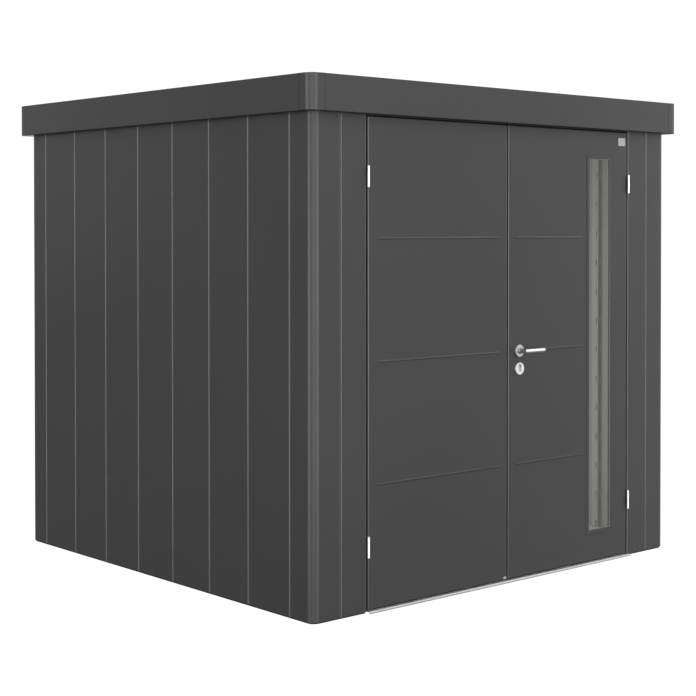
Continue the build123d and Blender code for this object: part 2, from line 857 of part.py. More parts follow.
with BuildPart() as right_leaf_stiffeners:
    add(stiffener_bars(leaf_inner + bend, window_left - frame_flange - seat))
    add(stiffener_bars(window_right + frame_flange + seat, leaf_outer - bend))
right_leaf_stiffeners.part.label = "right_leaf_stiffeners"
export_step(right_leaf_stiffeners.part, "parts/right_leaf_stiffeners.step")

# Window: a frame clamped in the leaf, a clear pane behind its lip and a retainer behind the pane
frame_width = window_width - 2 * window_groove
frame_height = window_height - 2 * window_groove
light_width = frame_width - 2 * frame_face
light_height = frame_height - 2 * frame_face
pane_width = light_width + 2 * pane_lap
pane_height = light_height + 2 * pane_lap
pane_front = sheet + seat + sheet
with BuildPart() as window_frame:
    with BuildSketch(face_plane.offset(frame_proud)):
        with Locations((window_middle, window_z)):
            RectangleRounded(frame_width, frame_height, bend)
            RectangleRounded(light_width, light_height, bend, mode=Mode.SUBTRACT)
    extrude(amount=-frame_proud - frame_depth)
    with BuildSketch(face_plane.offset(-sheet - seat)):
        with Locations((window_middle, window_z)):
            Rectangle(window_width + 2 * frame_flange, window_height + 2 * frame_flange)
            Rectangle(light_width + 2 * pane_lap, light_height + 2 * pane_lap, mode=Mode.SUBTRACT)
    extrude(amount=-sheet)
    with BuildSketch(face_plane.offset(-pane_front + seat)):
        with Locations((window_middle, window_z)):
            Rectangle(pane_width + 2 * seat, pane_height + 2 * seat)
    extrude(amount=-frame_depth, mode=Mode.SUBTRACT)
window_frame.part.label = "window_frame"
export_step(window_frame.part, "parts/window_frame.step")

with BuildPart() as window_pane:
    with BuildSketch(face_plane.offset(-pane_front)):
        with Locations((window_middle, window_z)):
            Rectangle(pane_width, pane_height)
    extrude(amount=-pane_thickness)
window_pane.part.label = "window_pane"
export_step(window_pane.part, "parts/window_pane.step")

with BuildPart() as window_retainer:
    with BuildSketch(face_plane.offset(-pane_front - pane_thickness - seat)):
        with Locations((window_middle, window_z)):
            Rectangle(pane_width, pane_height)
            Rectangle(light_width, light_height, mode=Mode.SUBTRACT)
    extrude(amount=pane_front + pane_thickness + seat - frame_depth)
window_retainer.part.label = "window_retainer"
export_step(window_retainer.part, "parts/window_retainer.step")

# Shoot bolts: two rods that slide through the left leaf's foot and head
with BuildPart() as left_leaf_bolts:
    for bolt_foot in (leaf_foot, leaf_head - bolt_length):
        with BuildSketch(Plane.XY.offset(bolt_foot)):
            with Locations((bolt_x, bolt_y)):
                Circle(bolt_radius)
        extrude(amount=bolt_length)
left_leaf_bolts.part.label = "left_leaf_bolts"
export_step(left_leaf_bolts.part, "parts/left_leaf_bolts.step")

# Bolt guides: blocks on the leaf's inner face that hold the free ends of the shoot bolts
guide_front = front + sheet + seat
with BuildPart() as bolt_guides:
    for guide_foot in (leaf_foot + bolt_length - 2 * guide_height, leaf_head - bolt_length + guide_height):
        with BuildSketch(Plane.XY.offset(guide_foot)):
            with Locations((bolt_x, (guide_front + bolt_y + guide_width / 2) / 2)):
                Rectangle(guide_width, bolt_y + guide_width / 2 - guide_front)
            with Locations((bolt_x, bolt_y)):
                Circle(bolt_radius + seat, mode=Mode.SUBTRACT)
        extrude(amount=guide_height)
bolt_guides.part.label = "bolt_guides"
export_step(bolt_guides.part, "parts/bolt_guides.step")

# Foot plate: a small bare plate at the left leaf's foot, by the meeting edge
foot_plate_x = -leaf_inner - bend - foot_plate_width / 2
foot_plate_z = leaf_foot + leaf_fold + foot_plate_height / 2
with BuildPart() as foot_plate:
    with BuildSketch(face_plane):
        with Locations((foot_plate_x, foot_plate_z)):
            Rectangle(foot_plate_width, foot_plate_height)
    extrude(amount=badge_thickness)
foot_plate.part.label = "foot_plate"
export_step(foot_plate.part, "parts/foot_plate.step")

# Lock case, roses and cylinder in the right leaf
with BuildPart() as lock_case:
    with BuildSketch(face_plane.offset(-case_front)):
        with Locations((case_x, case_z)):
            Rectangle(case_width, case_height)
        with Locations((lever_x, lever_height)):
            Circle(spindle_side)
        with Locations((lever_x, plug_height)):
            add(cylinder_outline(seat), mode=Mode.SUBTRACT)
    extrude(amount=-case_depth)
    with BuildSketch(face_plane.offset(-case_front)):
        with Locations((lever_x, lever_height)):
            Circle(spindle_side)
    extrude(amount=-case_depth, mode=Mode.SUBTRACT)
    with BuildSketch(stile_plane):
        with Locations((0, case_z)):
            Rectangle(faceplate_width, case_height)
    extrude(amount=sheet + seat)
lock_case.part.label = "lock_case"
export_step(lock_case.part, "parts/lock_case.step")

# Lock cover: a folded plate from the stile's lip to the leaf's skin, behind the lock case
cover_start = leaf_inner + leaf_lip + seat
cover_end = case_x + case_width / 2 + cover_margin
cover_back = front + leaf_depth
cover_front = front + 2 * sheet + seat
cover_height = case_height + 2 * cover_margin
with BuildPart() as lock_cover:
    with BuildSketch(Plane.XY.offset(case_z - cover_height / 2)):
        add(
            folded(
                [
                    (cover_start, cover_back),
                    (cover_end, cover_back),
                    (cover_end, cover_front),
                    (cover_end + cover_foot, cover_front),
                ],
                side=-1,
            )
        )
    extrude(amount=cover_height)
    with BuildSketch(face_plane.offset(-leaf_depth)):
        with Locations((lever_x, lever_height)):
            Circle(lever_radius + seat)
        with Locations((lever_x, plug_height)):
            add(cylinder_outline(seat))
    extrude(amount=sheet, mode=Mode.SUBTRACT)
lock_cover.part.label = "lock_cover"
export_step(lock_cover.part, "parts/lock_cover.step")

with BuildPart() as lock_roses:
    for rose_plane, rose_grow in (
        (face_plane, rose_thickness),
        (face_plane.offset(-leaf_depth), -rose_thickness),
    ):
        with BuildSketch(rose_plane):
            with Locations((lever_x, lever_height), (lever_x, key_height)):
                Circle(rose_radius)
            with Locations((lever_x, lever_height)):
                Circle(lever_radius + seat, mode=Mode.SUBTRACT)
            with Locations((lever_x, plug_height)):
                add(cylinder_outline(seat), mode=Mode.SUBTRACT)
        extrude(amount=rose_grow)
lock_roses.part.label = "lock_roses"
export_step(lock_roses.part, "parts/lock_roses.step")

with BuildPart() as lock_cylinder:
    with BuildSketch(face_plane.offset(rose_thickness + cylinder_proud)):
        with Locations((lever_x, plug_height)):
            add(cylinder_outline(0))
    extrude(amount=-leaf_depth - 2 * rose_thickness - 2 * cylinder_proud)
lock_cylinder.part.label = "lock_cylinder"
export_step(lock_cylinder.part, "parts/lock_cylinder.step")

# Badge plate: a small bare plate near the top of the right leaf
with BuildPart() as badge_plate:
    with BuildSketch(face_plane):
        with Locations((badge_x, badge_z)):
            RectangleRounded(badge_width, badge_height, 2 * sheet)
    extrude(amount=badge_thickness)
badge_plate.part.label = "badge_plate"
export_step(badge_plate.part, "parts/badge_plate.step")


# Lever: a round bar with a mitred elbow on each face of the leaf, joined by a square spindle
def lever_grip(face_y, outwards):
    """Mitred round bar from a leaf face out to the grip; outwards is -1 or 1 along Y."""
    tip_y = face_y + outwards * lever_stand_off
    with BuildPart() as grip:
        with BuildLine(Plane.XY.offset(lever_height)) as route:
            Polyline((lever_x, face_y), (lever_x, tip_y), (lever_x + lever_reach, tip_y))
        root = Plane(origin=(lever_x, face_y, lever_height), x_dir=(1, 0, 0), z_dir=(0, outwards, 0))
        with BuildSketch(root):
            Circle(lever_radius)
        sweep(path=route.line, transition=Transition.RIGHT)
        chamfer(grip.edges().group_by(Axis.X)[-1], lever_rounding)
    return grip.part


with BuildPart() as lever_outer:
    add(lever_grip(front, -1))
lever_outer.part.label = "lever_outer"
export_step(lever_outer.part, "parts/lever_outer.step")

with BuildPart() as lever_inner:
    add(lever_grip(front + leaf_depth, 1))
lever_inner.part.label = "lever_inner"
export_step(lever_inner.part, "parts/lever_inner.step")

with BuildPart() as lever_spindle:
    with BuildSketch(face_plane):
        with Locations((lever_x, lever_height)):
            Rectangle(spindle_side, spindle_side)
    extrude(amount=-leaf_depth)
lever_spindle.part.label = "lever_spindle"
export_step(lever_spindle.part, "parts/lever_spindle.step")
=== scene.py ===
"""Looks of a metal tool shed: its finishes and small fittings, the stage, the light and the camera.

All sizes are in metres. X runs right along the door front, Y runs from the door front to the
back and Z runs up. The origin is the centre of the shed's base on the ground.
"""

from __future__ import annotations

import json
import logging
import math
from contextlib import contextmanager
from dataclasses import dataclass
from enum import Enum
from typing import Iterator, Mapping, Sequence

import bmesh
import bpy
from mathutils import Matrix, Vector

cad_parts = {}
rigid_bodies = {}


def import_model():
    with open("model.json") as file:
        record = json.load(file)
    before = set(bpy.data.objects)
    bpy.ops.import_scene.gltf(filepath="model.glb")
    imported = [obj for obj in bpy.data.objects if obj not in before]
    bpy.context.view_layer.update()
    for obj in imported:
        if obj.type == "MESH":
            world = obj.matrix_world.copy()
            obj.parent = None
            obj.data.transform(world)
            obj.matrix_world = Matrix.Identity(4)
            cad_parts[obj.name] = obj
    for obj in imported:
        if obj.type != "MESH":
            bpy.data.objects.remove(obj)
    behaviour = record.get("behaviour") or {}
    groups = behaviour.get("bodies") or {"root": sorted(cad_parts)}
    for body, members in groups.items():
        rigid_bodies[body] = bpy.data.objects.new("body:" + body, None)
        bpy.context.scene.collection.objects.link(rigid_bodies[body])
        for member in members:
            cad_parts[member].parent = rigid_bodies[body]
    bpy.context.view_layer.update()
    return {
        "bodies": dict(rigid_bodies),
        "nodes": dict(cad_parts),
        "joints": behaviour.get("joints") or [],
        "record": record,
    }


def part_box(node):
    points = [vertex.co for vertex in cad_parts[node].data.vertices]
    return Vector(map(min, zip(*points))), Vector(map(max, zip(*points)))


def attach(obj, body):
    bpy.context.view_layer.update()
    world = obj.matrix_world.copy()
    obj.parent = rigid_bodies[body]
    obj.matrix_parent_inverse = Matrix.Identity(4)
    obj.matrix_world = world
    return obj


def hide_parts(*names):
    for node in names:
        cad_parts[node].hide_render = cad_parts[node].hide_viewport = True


LOG = logging.getLogger("shed")

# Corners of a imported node's mesh that lie closer than this, in metres, are the same corner.
WELD = 0.00002

Point = tuple[float, float, float]
Colour = tuple[float, float, float]


class Body(Enum):
    """The parts of the shed that move on their own."""

    SHELL = "shell"
    LEFT_LEAF = "left_leaf"
    RIGHT_LEAF = "right_leaf"
    LEVER = "lever"


class Slot(Enum):
    """The finishes that the shed's record names."""

    SHEET = "coated_sheet"
    ZINC = "zinc_steel"
    UPRIGHT = "light_uprights"
    ALUMINIUM = "bare_aluminium"
    STAINLESS = "stainless"
    BRASS = "cylinder_brass"
    PANE = "clear_pane"
    BADGE = "badge"


class Grain(Enum):
    """The direction that a rolled or brushed grain runs in, as the stretch of a noise along X, Y and Z."""

    X = (1.0, 60.0, 60.0)
    Y = (60.0, 1.0, 60.0)
    Z = (60.0, 60.0, 1.0)


def linear(level: float) -> float:
    """Turns a screen level into linear light.

    Args:
        level: brightness as a screen shows it, from 0 to 255.

    Returns:
        The same brightness as a share of white light.
    """
    share = level / 255
    return share / 12.92 if share <= 0.04045 else ((share + 0.055) / 1.055) ** 2.4


def tint(red: float, green: float, blue: float) -> Colour:
    """Turns three screen levels into a linear colour."""
    return linear(red), linear(green), linear(blue)


@dataclass(frozen=True)
class Wire:
    """One output of a node, which can be used in sums like a number."""

    graph: Graph
    socket: bpy.types.NodeSocket

    def __add__(self, other: Value) -> Wire:
        """Adds a number or another wire."""
        return self.graph.math("ADD", self, other)

    __radd__ = __add__

    def __sub__(self, other: Value) -> Wire:
        """Takes a number or another wire away."""
        return self.graph.math("SUBTRACT", self, other)

    def __rsub__(self, other: Value) -> Wire:
        """Takes this wire away from a number."""
        return self.graph.math("SUBTRACT", other, self)

    def __mul__(self, other: Value) -> Wire:
        """Multiplies by a number or another wire."""
        return self.graph.math("MULTIPLY", self, other)

    __rmul__ = __mul__

    def least(self, other: Value) -> Wire:
        """Gives the smaller of the two at each place."""
        return self.graph.math("MINIMUM", self, other)

    def swing(self, reach: float) -> Wire:
        """Turns a pattern around one half into one around 0, by half the reach to each side."""
        return (self - 0.5) * reach


Value = Wire | float


class Graph:
    """A node tree that is built by expressions."""

    def __init__(self, tree: bpy.types.NodeTree) -> None:
        """Starts with an empty tree.

        Args:
            tree: the tree of a material, a world or a geometry modifier.
        """
        self.tree = tree
        tree.nodes.clear()

    def node(
        self,
        kind: str,
        settings: Mapping[str, object] | None = None,
        inputs: Mapping[str | int, object] | None = None,
    ) -> bpy.types.Node:
        """Adds one node.

        Args:
            kind: the node's type.
            settings: its own settings, set first. "stops" holds a ramp's (position, colour) pairs.
            inputs: a value or a wire for each of its sockets, by name or by number.

        Returns:
            The new node.
        """
        made = self.tree.nodes.new(kind)
        for name, setting in (settings or {}).items():
            if name == "stops":
                ramp = made.color_ramp
                while len(ramp.elements) < len(setting):
                    ramp.elements.new(1.0)
                for element, (position, colour) in zip(ramp.elements, setting):
                    element.position = position
                    element.color = (*colour, 1.0)
            else:
                setattr(made, name, setting)
        for name, value in (inputs or {}).items():
            if isinstance(value, Wire):
                self.tree.links.new(value.socket, made.inputs[name])
            else:
                made.inputs[name].default_value = value
        return made

    def wire(
        self,
        kind: str,
        settings: Mapping[str, object] | None = None,
        inputs: Mapping[str | int, object] | None = None,
        output: str | int = 0,
    ) -> Wire:
        """Adds one node and gives one of its outputs, by name or by number."""
        return Wire(self, self.node(kind, settings, inputs).outputs[output])

    def math(self, operation: str, *values: Value) -> Wire:
        """Adds a Math node that works on the values in order."""
        return self.wire("ShaderNodeMath", {"operation": operation}, dict(enumerate(values)))

    def vector(self, operation: str, *values: object) -> Wire:
        """Adds a Vector Math node that works on the values in order."""
        return self.wire("ShaderNodeVectorMath", {"operation": operation}, dict(enumerate(values)))

    def joined(self, **axes: Value) -> Wire:
        """Joins numbers, named X, Y and Z, into one vector."""
        return self.wire("ShaderNodeCombineXYZ", None, axes)


class Shader(Graph):
    """The node tree of one material."""

    def __init__(self, name: str) -> None:
        """Makes an empty material.

        Args:
            name: the material's name, in plain words.
        """
        self.material = bpy.data.materials.new(name)
        self.material.use_nodes = True
        super().__init__(self.material.node_tree)
        self.place = self.wire("ShaderNodeTexCoord", output="Object")

    def noise(self, scale: float, stretch: Point = (1.0, 1.0, 1.0), detail: float = 2.0) -> Wire:
        """Gives a soft random pattern.

        Args:
            scale: how fine the pattern is, in blobs per metre.
            stretch: how much finer it is along X, Y and Z.
            detail: how many finer layers it has.

        Returns:
            A wire around one half.
        """
        place = self.vector("MULTIPLY", self.place, stretch)
        settings = {"noise_dimensions": "3D"}
        return self.wire("ShaderNodeTexNoise", settings, {"Vector": place, "Scale": scale, "Detail": detail})

    def mix(self, share: Value, first: object, second: object) -> Wire:
        """Blends two colours.

        Args:
            share: 0 where the first colour shows and 1 where the second does.
            first: a colour, or a wire of one.
            second: a colour, or a wire of one.

        Returns:
            The blended colour.
        """
        colours = [c if isinstance(c, Wire) else (*c, 1.0) for c in (first, second)]
        inputs = {0: share, 6: colours[0], 7: colours[1]}
        return self.wire("ShaderNodeMix", {"data_type": "RGBA"}, inputs, output=2)

    def shaded(self, colour: object, amount: Wire, depth: float) -> Wire:
        """Darkens and lightens a colour by a pattern around one half.

        Args:
            colour: the colour, or a wire of one.
            amount: the pattern.
            depth: how far from the colour it goes, as a share.

        Returns:
            The shaded colour.
        """
        gain = 1.0 + amount.swing(2 * depth)
        base = colour if isinstance(colour, Wire) else self.mix(0.0, colour, colour)
        return self.wire("ShaderNodeVectorMath", {"operation": "SCALE"}, {0: base, 3: gain})

    def bump(self, height: Wire, distance: float, strength: float = 1.0) -> Wire:
        """Turns a height pattern into a normal; the distance is what a height of 1 stands for."""
        inputs = {"Height": height, "Distance": distance, "Strength": strength}
        return self.wire("ShaderNodeBump", None, inputs)

    def finish(self, surface: Wire) -> bpy.types.Material:
        """Ends the material with its surface."""
        self.node("ShaderNodeOutputMaterial", None, {"Surface": surface})
        return self.material

    def principled(self, **sockets: object) -> bpy.types.Material:
        """Ends the material with one Principled surface.

        Args:
            sockets: its sockets, with low lines for spaces.

        Returns:
            The finished material.
        """
        inputs = {name.replace("_", " "): value for name, value in sockets.items()}
        return self.finish(self.wire("ShaderNodeBsdfPrincipled", None, inputs))


@dataclass(frozen=True)
class CoatedSheet:
    """Satin baked coating on sheet metal."""

    name: str = "coated sheet"
    colour: Colour = tint(43, 43, 43.5)
    roughness: float = 0.38
    shine: float = 0.36
    cloud_scale: float = 1.7
    powder_scale: float = 1400.0
    ripple_scale: float = 26.0
    ripple_share: float = 0.35
    tone: float = 0.05
    cloud_gloss: float = 0.06
    powder_gloss: float = 0.05
    relief: float = 0.00006
    relief_share: float = 0.5

    def make(self) -> bpy.types.Material:
        """Builds the material: cloudy tone, fine powder grain and a slightly uneven gloss.

        Returns:
            The finished material.
        """
        shader = Shader(self.name)
        cloud = shader.noise(self.cloud_scale, detail=3.0)
        powder = shader.noise(self.powder_scale, detail=1.0)
        ripple = shader.noise(self.ripple_scale, detail=1.0)
        return shader.principled(
            Base_Color=shader.shaded(self.colour, cloud, self.tone),
            Roughness=self.roughness + cloud.swing(self.cloud_gloss) + powder.swing(self.powder_gloss),
            Specular_IOR_Level=self.shine,
            Normal=shader.bump(powder + ripple * self.ripple_share, self.relief, self.relief_share),
        )


@dataclass(frozen=True)
class RolledMetal:
    """Bare or zinc-coated metal with a grain from rolling or brushing."""

    name: str
    colour: Colour
    roughness: float
    grain: Grain
    metallic: float = 1.0
    clouds: float = 0.1
    spangle: bool = False
    line_scale: float = 14.0
    cloud_scale: float = 7.0
    crystal_scale: float = 90.0
    line_tone: float = 0.06
    line_gloss: float = 0.16
    cloud_gloss: float = 0.08
    relief: float = 0.00004
    relief_share: float = 0.6

    def make(self) -> bpy.types.Material:
        """Builds the material: grain lines, clouds of tone and, on zinc, crystals.

        Returns:
            The finished material.
        """
        shader = Shader(self.name)
        lines = shader.noise(self.line_scale, self.grain.value, 3.0)
        cloud = shader.noise(self.cloud_scale)
        tone = cloud
        if self.spangle:
            inputs = {"Vector": shader.place, "Scale": self.crystal_scale}
            crystals = shader.wire("ShaderNodeTexVoronoi", None, inputs, "Color")
            tone = (cloud + shader.wire("ShaderNodeSeparateXYZ", None, {0: crystals})) * 0.5
        clouded = shader.shaded(self.colour, tone, self.clouds)
        return shader.principled(
            Base_Color=shader.shaded(clouded, lines, self.line_tone),
            Metallic=self.metallic,
            Roughness=self.roughness + lines.swing(self.line_gloss) + cloud.swing(self.cloud_gloss),
            Normal=shader.bump(lines, self.relief, self.relief_share),
        )


@dataclass(frozen=True)
class PalePaint:
    """Pale baked paint, on the slotted uprights and on the inner side of the walls."""

    name: str = "pale paint"
    colour: Colour = tint(170, 170, 163)
    roughness: float = 0.45
    cloud_scale: float = 5.0
    grain_scale: float = 900.0
    tone: float = 0.05
    cloud_gloss: float = 0.1
    relief: float = 0.00005
    relief_share: float = 0.5

    def make(self) -> bpy.types.Material:
        """Builds the material: soft clouds and a fine grain.

        Returns:
            The finished material.
        """
        shader = Shader(self.name)
        cloud = shader.noise(self.cloud_scale)
        grain = shader.noise(self.grain_scale, detail=1.0)
        return shader.principled(
            Base_Color=shader.shaded(self.colour, cloud, self.tone),
            Roughness=self.roughness + cloud.swing(self.cloud_gloss),
            Normal=shader.bump(grain, self.relief, self.relief_share),
        )


@dataclass(frozen=True)
class ClearPane:
    """Clear acrylic with a faint haze and a faint olive tone."""

    name: str = "clear pane"
    colour: Colour = tint(120, 122, 112)
    cover: float = 0.16
    roughness: float = 0.06
    haze_scale: float = 3.0
    haze_stretch: Point = (1.0, 1.0, 0.3)
    haze_gloss: float = 0.04
    haze_cover: float = 0.04
    tone: float = 0.05

    def make(self) -> bpy.types.Material:
        """Builds the material: mostly see-through, with an uneven haze.

        Returns:
            The finished material.
        """
        shader = Shader(self.name)
        haze = shader.noise(self.haze_scale, self.haze_stretch)
        return shader.principled(
            Base_Color=shader.shaded(self.colour, haze, self.tone),
            Roughness=self.roughness + haze * self.haze_gloss,
            Alpha=self.cover + haze.swing(self.haze_cover),
        )


@dataclass(frozen=True)
class SoftRubber:
    """Soft rubber with a dull skin, also for what is plainly dark and dull, and for the near-black painted
    shade in the key slot and in the wall joints.
    """

    name: str = "soft rubber"
    level: float = 110.0
    roughness: float = 0.7
    pit_scale: float = 700.0
    pit_tone: float = 0.2
    pit_gloss: float = 0.2
    relief: float = 0.00008

    def make(self) -> bpy.types.Material:
        """Builds the material: one grey with a dull, finely pitted skin.

        Returns:
            The finished material.
        """
        shader = Shader(self.name)
        pits = shader.noise(self.pit_scale)
        return shader.principled(
            Base_Color=shader.shaded(tint(self.level, self.level, self.level), pits, self.pit_tone),
            Roughness=self.roughness + pits.swing(self.pit_gloss),
            Normal=shader.bump(pits, self.relief),
        )


@dataclass(frozen=True)
class BarePlate:
    """The bare metal of the two small plates on the leaves."""

    name: str = "bare plate"
    colour: Colour = tint(160, 160, 161)
    roughness: float = 0.35
    metallic: float = 0.6
    line_scale: float = 30.0
    line_tone: float = 0.08
    line_gloss: float = 0.2
    relief: float = 0.00003

    def make(self) -> bpy.types.Material:
        """Builds the material: finely brushed across.

        Returns:
            The finished material.
        """
        shader = Shader(self.name)
        lines = shader.noise(self.line_scale, Grain.X.value)
        return shader.principled(
            Base_Color=shader.shaded(self.colour, lines, self.line_tone),
            Metallic=self.metallic,
            Roughness=self.roughness + lines.swing(self.line_gloss),
            Normal=shader.bump(lines, self.relief),
        )


class Palette:
    """Every finish of the shed, and the painted highlight and painted shade materials, each made once."""

    def __init__(self) -> None:
        """Makes the materials."""
        self.sheet = CoatedSheet().make()
        self.lining = PalePaint("pale backing coat", tint(150, 150, 143)).make()
        # Painted highlight: a brighter, glossier copy of the coating, for the light that the narrow folds
        # catch.
        self.fold_highlight = CoatedSheet("coated fold", tint(68, 68, 69), 0.34, 0.5).make()
        # Painted shade: near black on the rails' lips, for the shadow line under the walls.
        self.rail_shade = CoatedSheet("dark rail", tint(16, 16, 16), 0.6, 0.1).make()
        self.zinc = RolledMetal("zinc-coated steel", tint(172, 175, 178), 0.5, Grain.X, spangle=True).make()
        self.upright = PalePaint().make()
        self.aluminium = RolledMetal("bare aluminium", tint(184, 185, 187), 0.36, Grain.X).make()
        self.floor = RolledMetal("floor plate", tint(205, 206, 208), 0.38, Grain.Y).make()
        self.stainless = RolledMetal("stainless steel", tint(240, 240, 240), 0.3, Grain.X, 0.85, 0.04).make()
        self.rose = RolledMetal("polished rose", tint(228, 228, 228), 0.32, Grain.X, 0.85, 0.04).make()
        self.satin = RolledMetal("satin stainless steel", tint(190, 190, 190), 0.42, Grain.X, 0.9).make()
        self.dull = RolledMetal("dull collar", tint(140, 140, 140), 0.5, Grain.X, 0.9).make()
        self.hinge = RolledMetal("hinge barrel", tint(240, 240, 240), 0.3, Grain.Z, 0.25, 0.03).make()
        # Near black, as painted shade: on the hinge plates in the gap beside the barrels, and on the
        # uprights' sides turned to the wall, behind their slots.
        self.plate = RolledMetal("hinge plate", tint(30, 30, 30), 0.5, Grain.Z, 0.2, 0.05).make()
        self.brass = RolledMetal("lock cylinder", tint(160, 158, 152), 0.34, Grain.Y, 0.8, 0.05).make()
        self.pane = ClearPane().make()
        self.rubber = SoftRubber().make()
        # Near black: the joint cords close the gaps against the light from behind, and their colour is
        # painted shade for the dark inside the gaps.
        self.seal = SoftRubber("joint seal", 35.0).make()
        # Near black: painted shade for the hollow of the key slot.
        self.key_slot_shade = SoftRubber("key slot", 15.0).make()
        self.badge = BarePlate().make()
        self.by_slot = {
            Slot.SHEET: self.sheet,
            Slot.ZINC: self.zinc,
            Slot.UPRIGHT: self.upright,
            Slot.ALUMINIUM: self.aluminium,
            Slot.STAINLESS: self.stainless,
            Slot.BRASS: self.brass,
            Slot.PANE: self.pane,
            Slot.BADGE: self.badge,
        }


class Frame:
    """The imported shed: its nodes, which body each is on and which finish each has."""

    def __init__(self, loaded: Mapping[str, object]) -> None:
        """Keeps what was loaded.
        """
        record = loaded["record"]
        self.nodes: dict[str, bpy.types.Object] = loaded["nodes"]
        self.bodies = {
            node: Body(body) for body, nodes in record["behaviour"]["bodies"].items() for node in nodes
        }
        self.slots = {part["node"]: Slot(part["material_slot"]) for part in record["subparts"]}

    def paint(self, node: str, material: bpy.types.Material) -> None:
        """Gives a node a material in each of its slots.

        Args:
            node: the node's name.
            material: its finish.
        """
        mesh = self.nodes[node].data
        for index in range(len(mesh.materials)):
            mesh.materials[index] = material
        if not mesh.materials:
            mesh.materials.append(material)


def put(name: str, data: bpy.types.ID) -> bpy.types.Object:
    """Puts a new object in the scene, at the origin.

    Args:
        name: the object's name.
        data: its mesh, light or camera.

    Returns:
        The new object.
    """
    made = bpy.data.objects.new(name, data)
    bpy.context.scene.collection.objects.link(made)
    return made


@contextmanager
def opened(mesh: bpy.types.Mesh) -> Iterator[bmesh.types.BMesh]:
    """Opens a mesh for changes and then writes them back.

    Args:
        mesh: the mesh to change.

    Yields:
        The mesh as it can be changed.
    """
    work = bmesh.new()
    work.from_mesh(mesh)
    yield work
    work.to_mesh(mesh)
    work.free()


def keep(
    mesh: bpy.types.Mesh,
    name: str,
    body: Body,
    material: bpy.types.Material | None = None,
    replaces: Sequence[str] = (),
) -> bpy.types.Object:
    """Puts a finished mesh on the shed.

    Args:
        mesh: the mesh, in place.
        name: the piece's name.
        body: the body that it moves with.
        material: its material, where the mesh has none yet.
        replaces: the nodes that it stands for.

    Returns:
        The new piece.
    """
    mesh.name = name
    if material:
        mesh.materials.clear()
        mesh.materials.append(material)
    piece = put(name, mesh)
    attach(piece, body.value)
    if replaces:
        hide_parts(*replaces)
    LOG.info("%s: %d faces, on %s", name, len(mesh.polygons), body.value)
    return piece


def evaluated_mesh(host: bpy.types.Object) -> bpy.types.Mesh:
    """Works out an object's modifiers and takes the object away.

    Args:
        host: the object that carries the modifiers.

    Returns:
        The plain mesh that they make.
    """
    bpy.context.view_layer.update()
    graph = bpy.context.evaluated_depsgraph_get()
    done = host.evaluated_get(graph)
    mesh = bpy.data.meshes.new_from_object(done, preserve_all_data_layers=True, depsgraph=graph)
    host.modifiers.clear()
    bpy.data.objects.remove(host)
    return mesh


@dataclass(frozen=True)
class SmoothForm:
    """Makes a smooth-shaded copy of a node, with its folds and edges softened."""

    flat: float = math.radians(0.4)
    crease: float = math.radians(32)
    edge: float = 0.0
    steps: int = 2

    def mesh_of(self, node: bpy.types.Object) -> bpy.types.Mesh:
        """Works out the copy's mesh.

        Args:
            node: the node to copy.

        Returns:
            The merged and smoothed mesh, in place.
        """
        work = bmesh.new()
        work.from_mesh(node.data)
        bmesh.ops.remove_doubles(work, verts=work.verts, dist=WELD)
        bmesh.ops.dissolve_limit(work, angle_limit=self.flat, verts=work.verts, edges=work.edges)
        mesh = bpy.data.meshes.new("form")
        work.to_mesh(mesh)
        work.free()
        mesh.shade_smooth()
        mesh.set_sharp_from_angle(angle=self.crease)
        host = put("form", mesh)
        if self.edge:
            bevel = host.modifiers.new("edges", "BEVEL")
            bevel.width = self.edge
            bevel.segments = self.steps
            bevel.angle_limit = self.crease
            bevel.harden_normals = True
        normals = host.modifiers.new("normals", "WEIGHTED_NORMAL")
        normals.keep_sharp = True
        return evaluated_mesh(host)

    def stand_in(self, frame: Frame, node: str, material: bpy.types.Material) -> bpy.types.Object:
        """Puts the smooth copy in the node's place."""
        mesh = self.mesh_of(frame.nodes[node])
        return keep(mesh, f"{node}_form", frame.bodies[node], material, (node,))


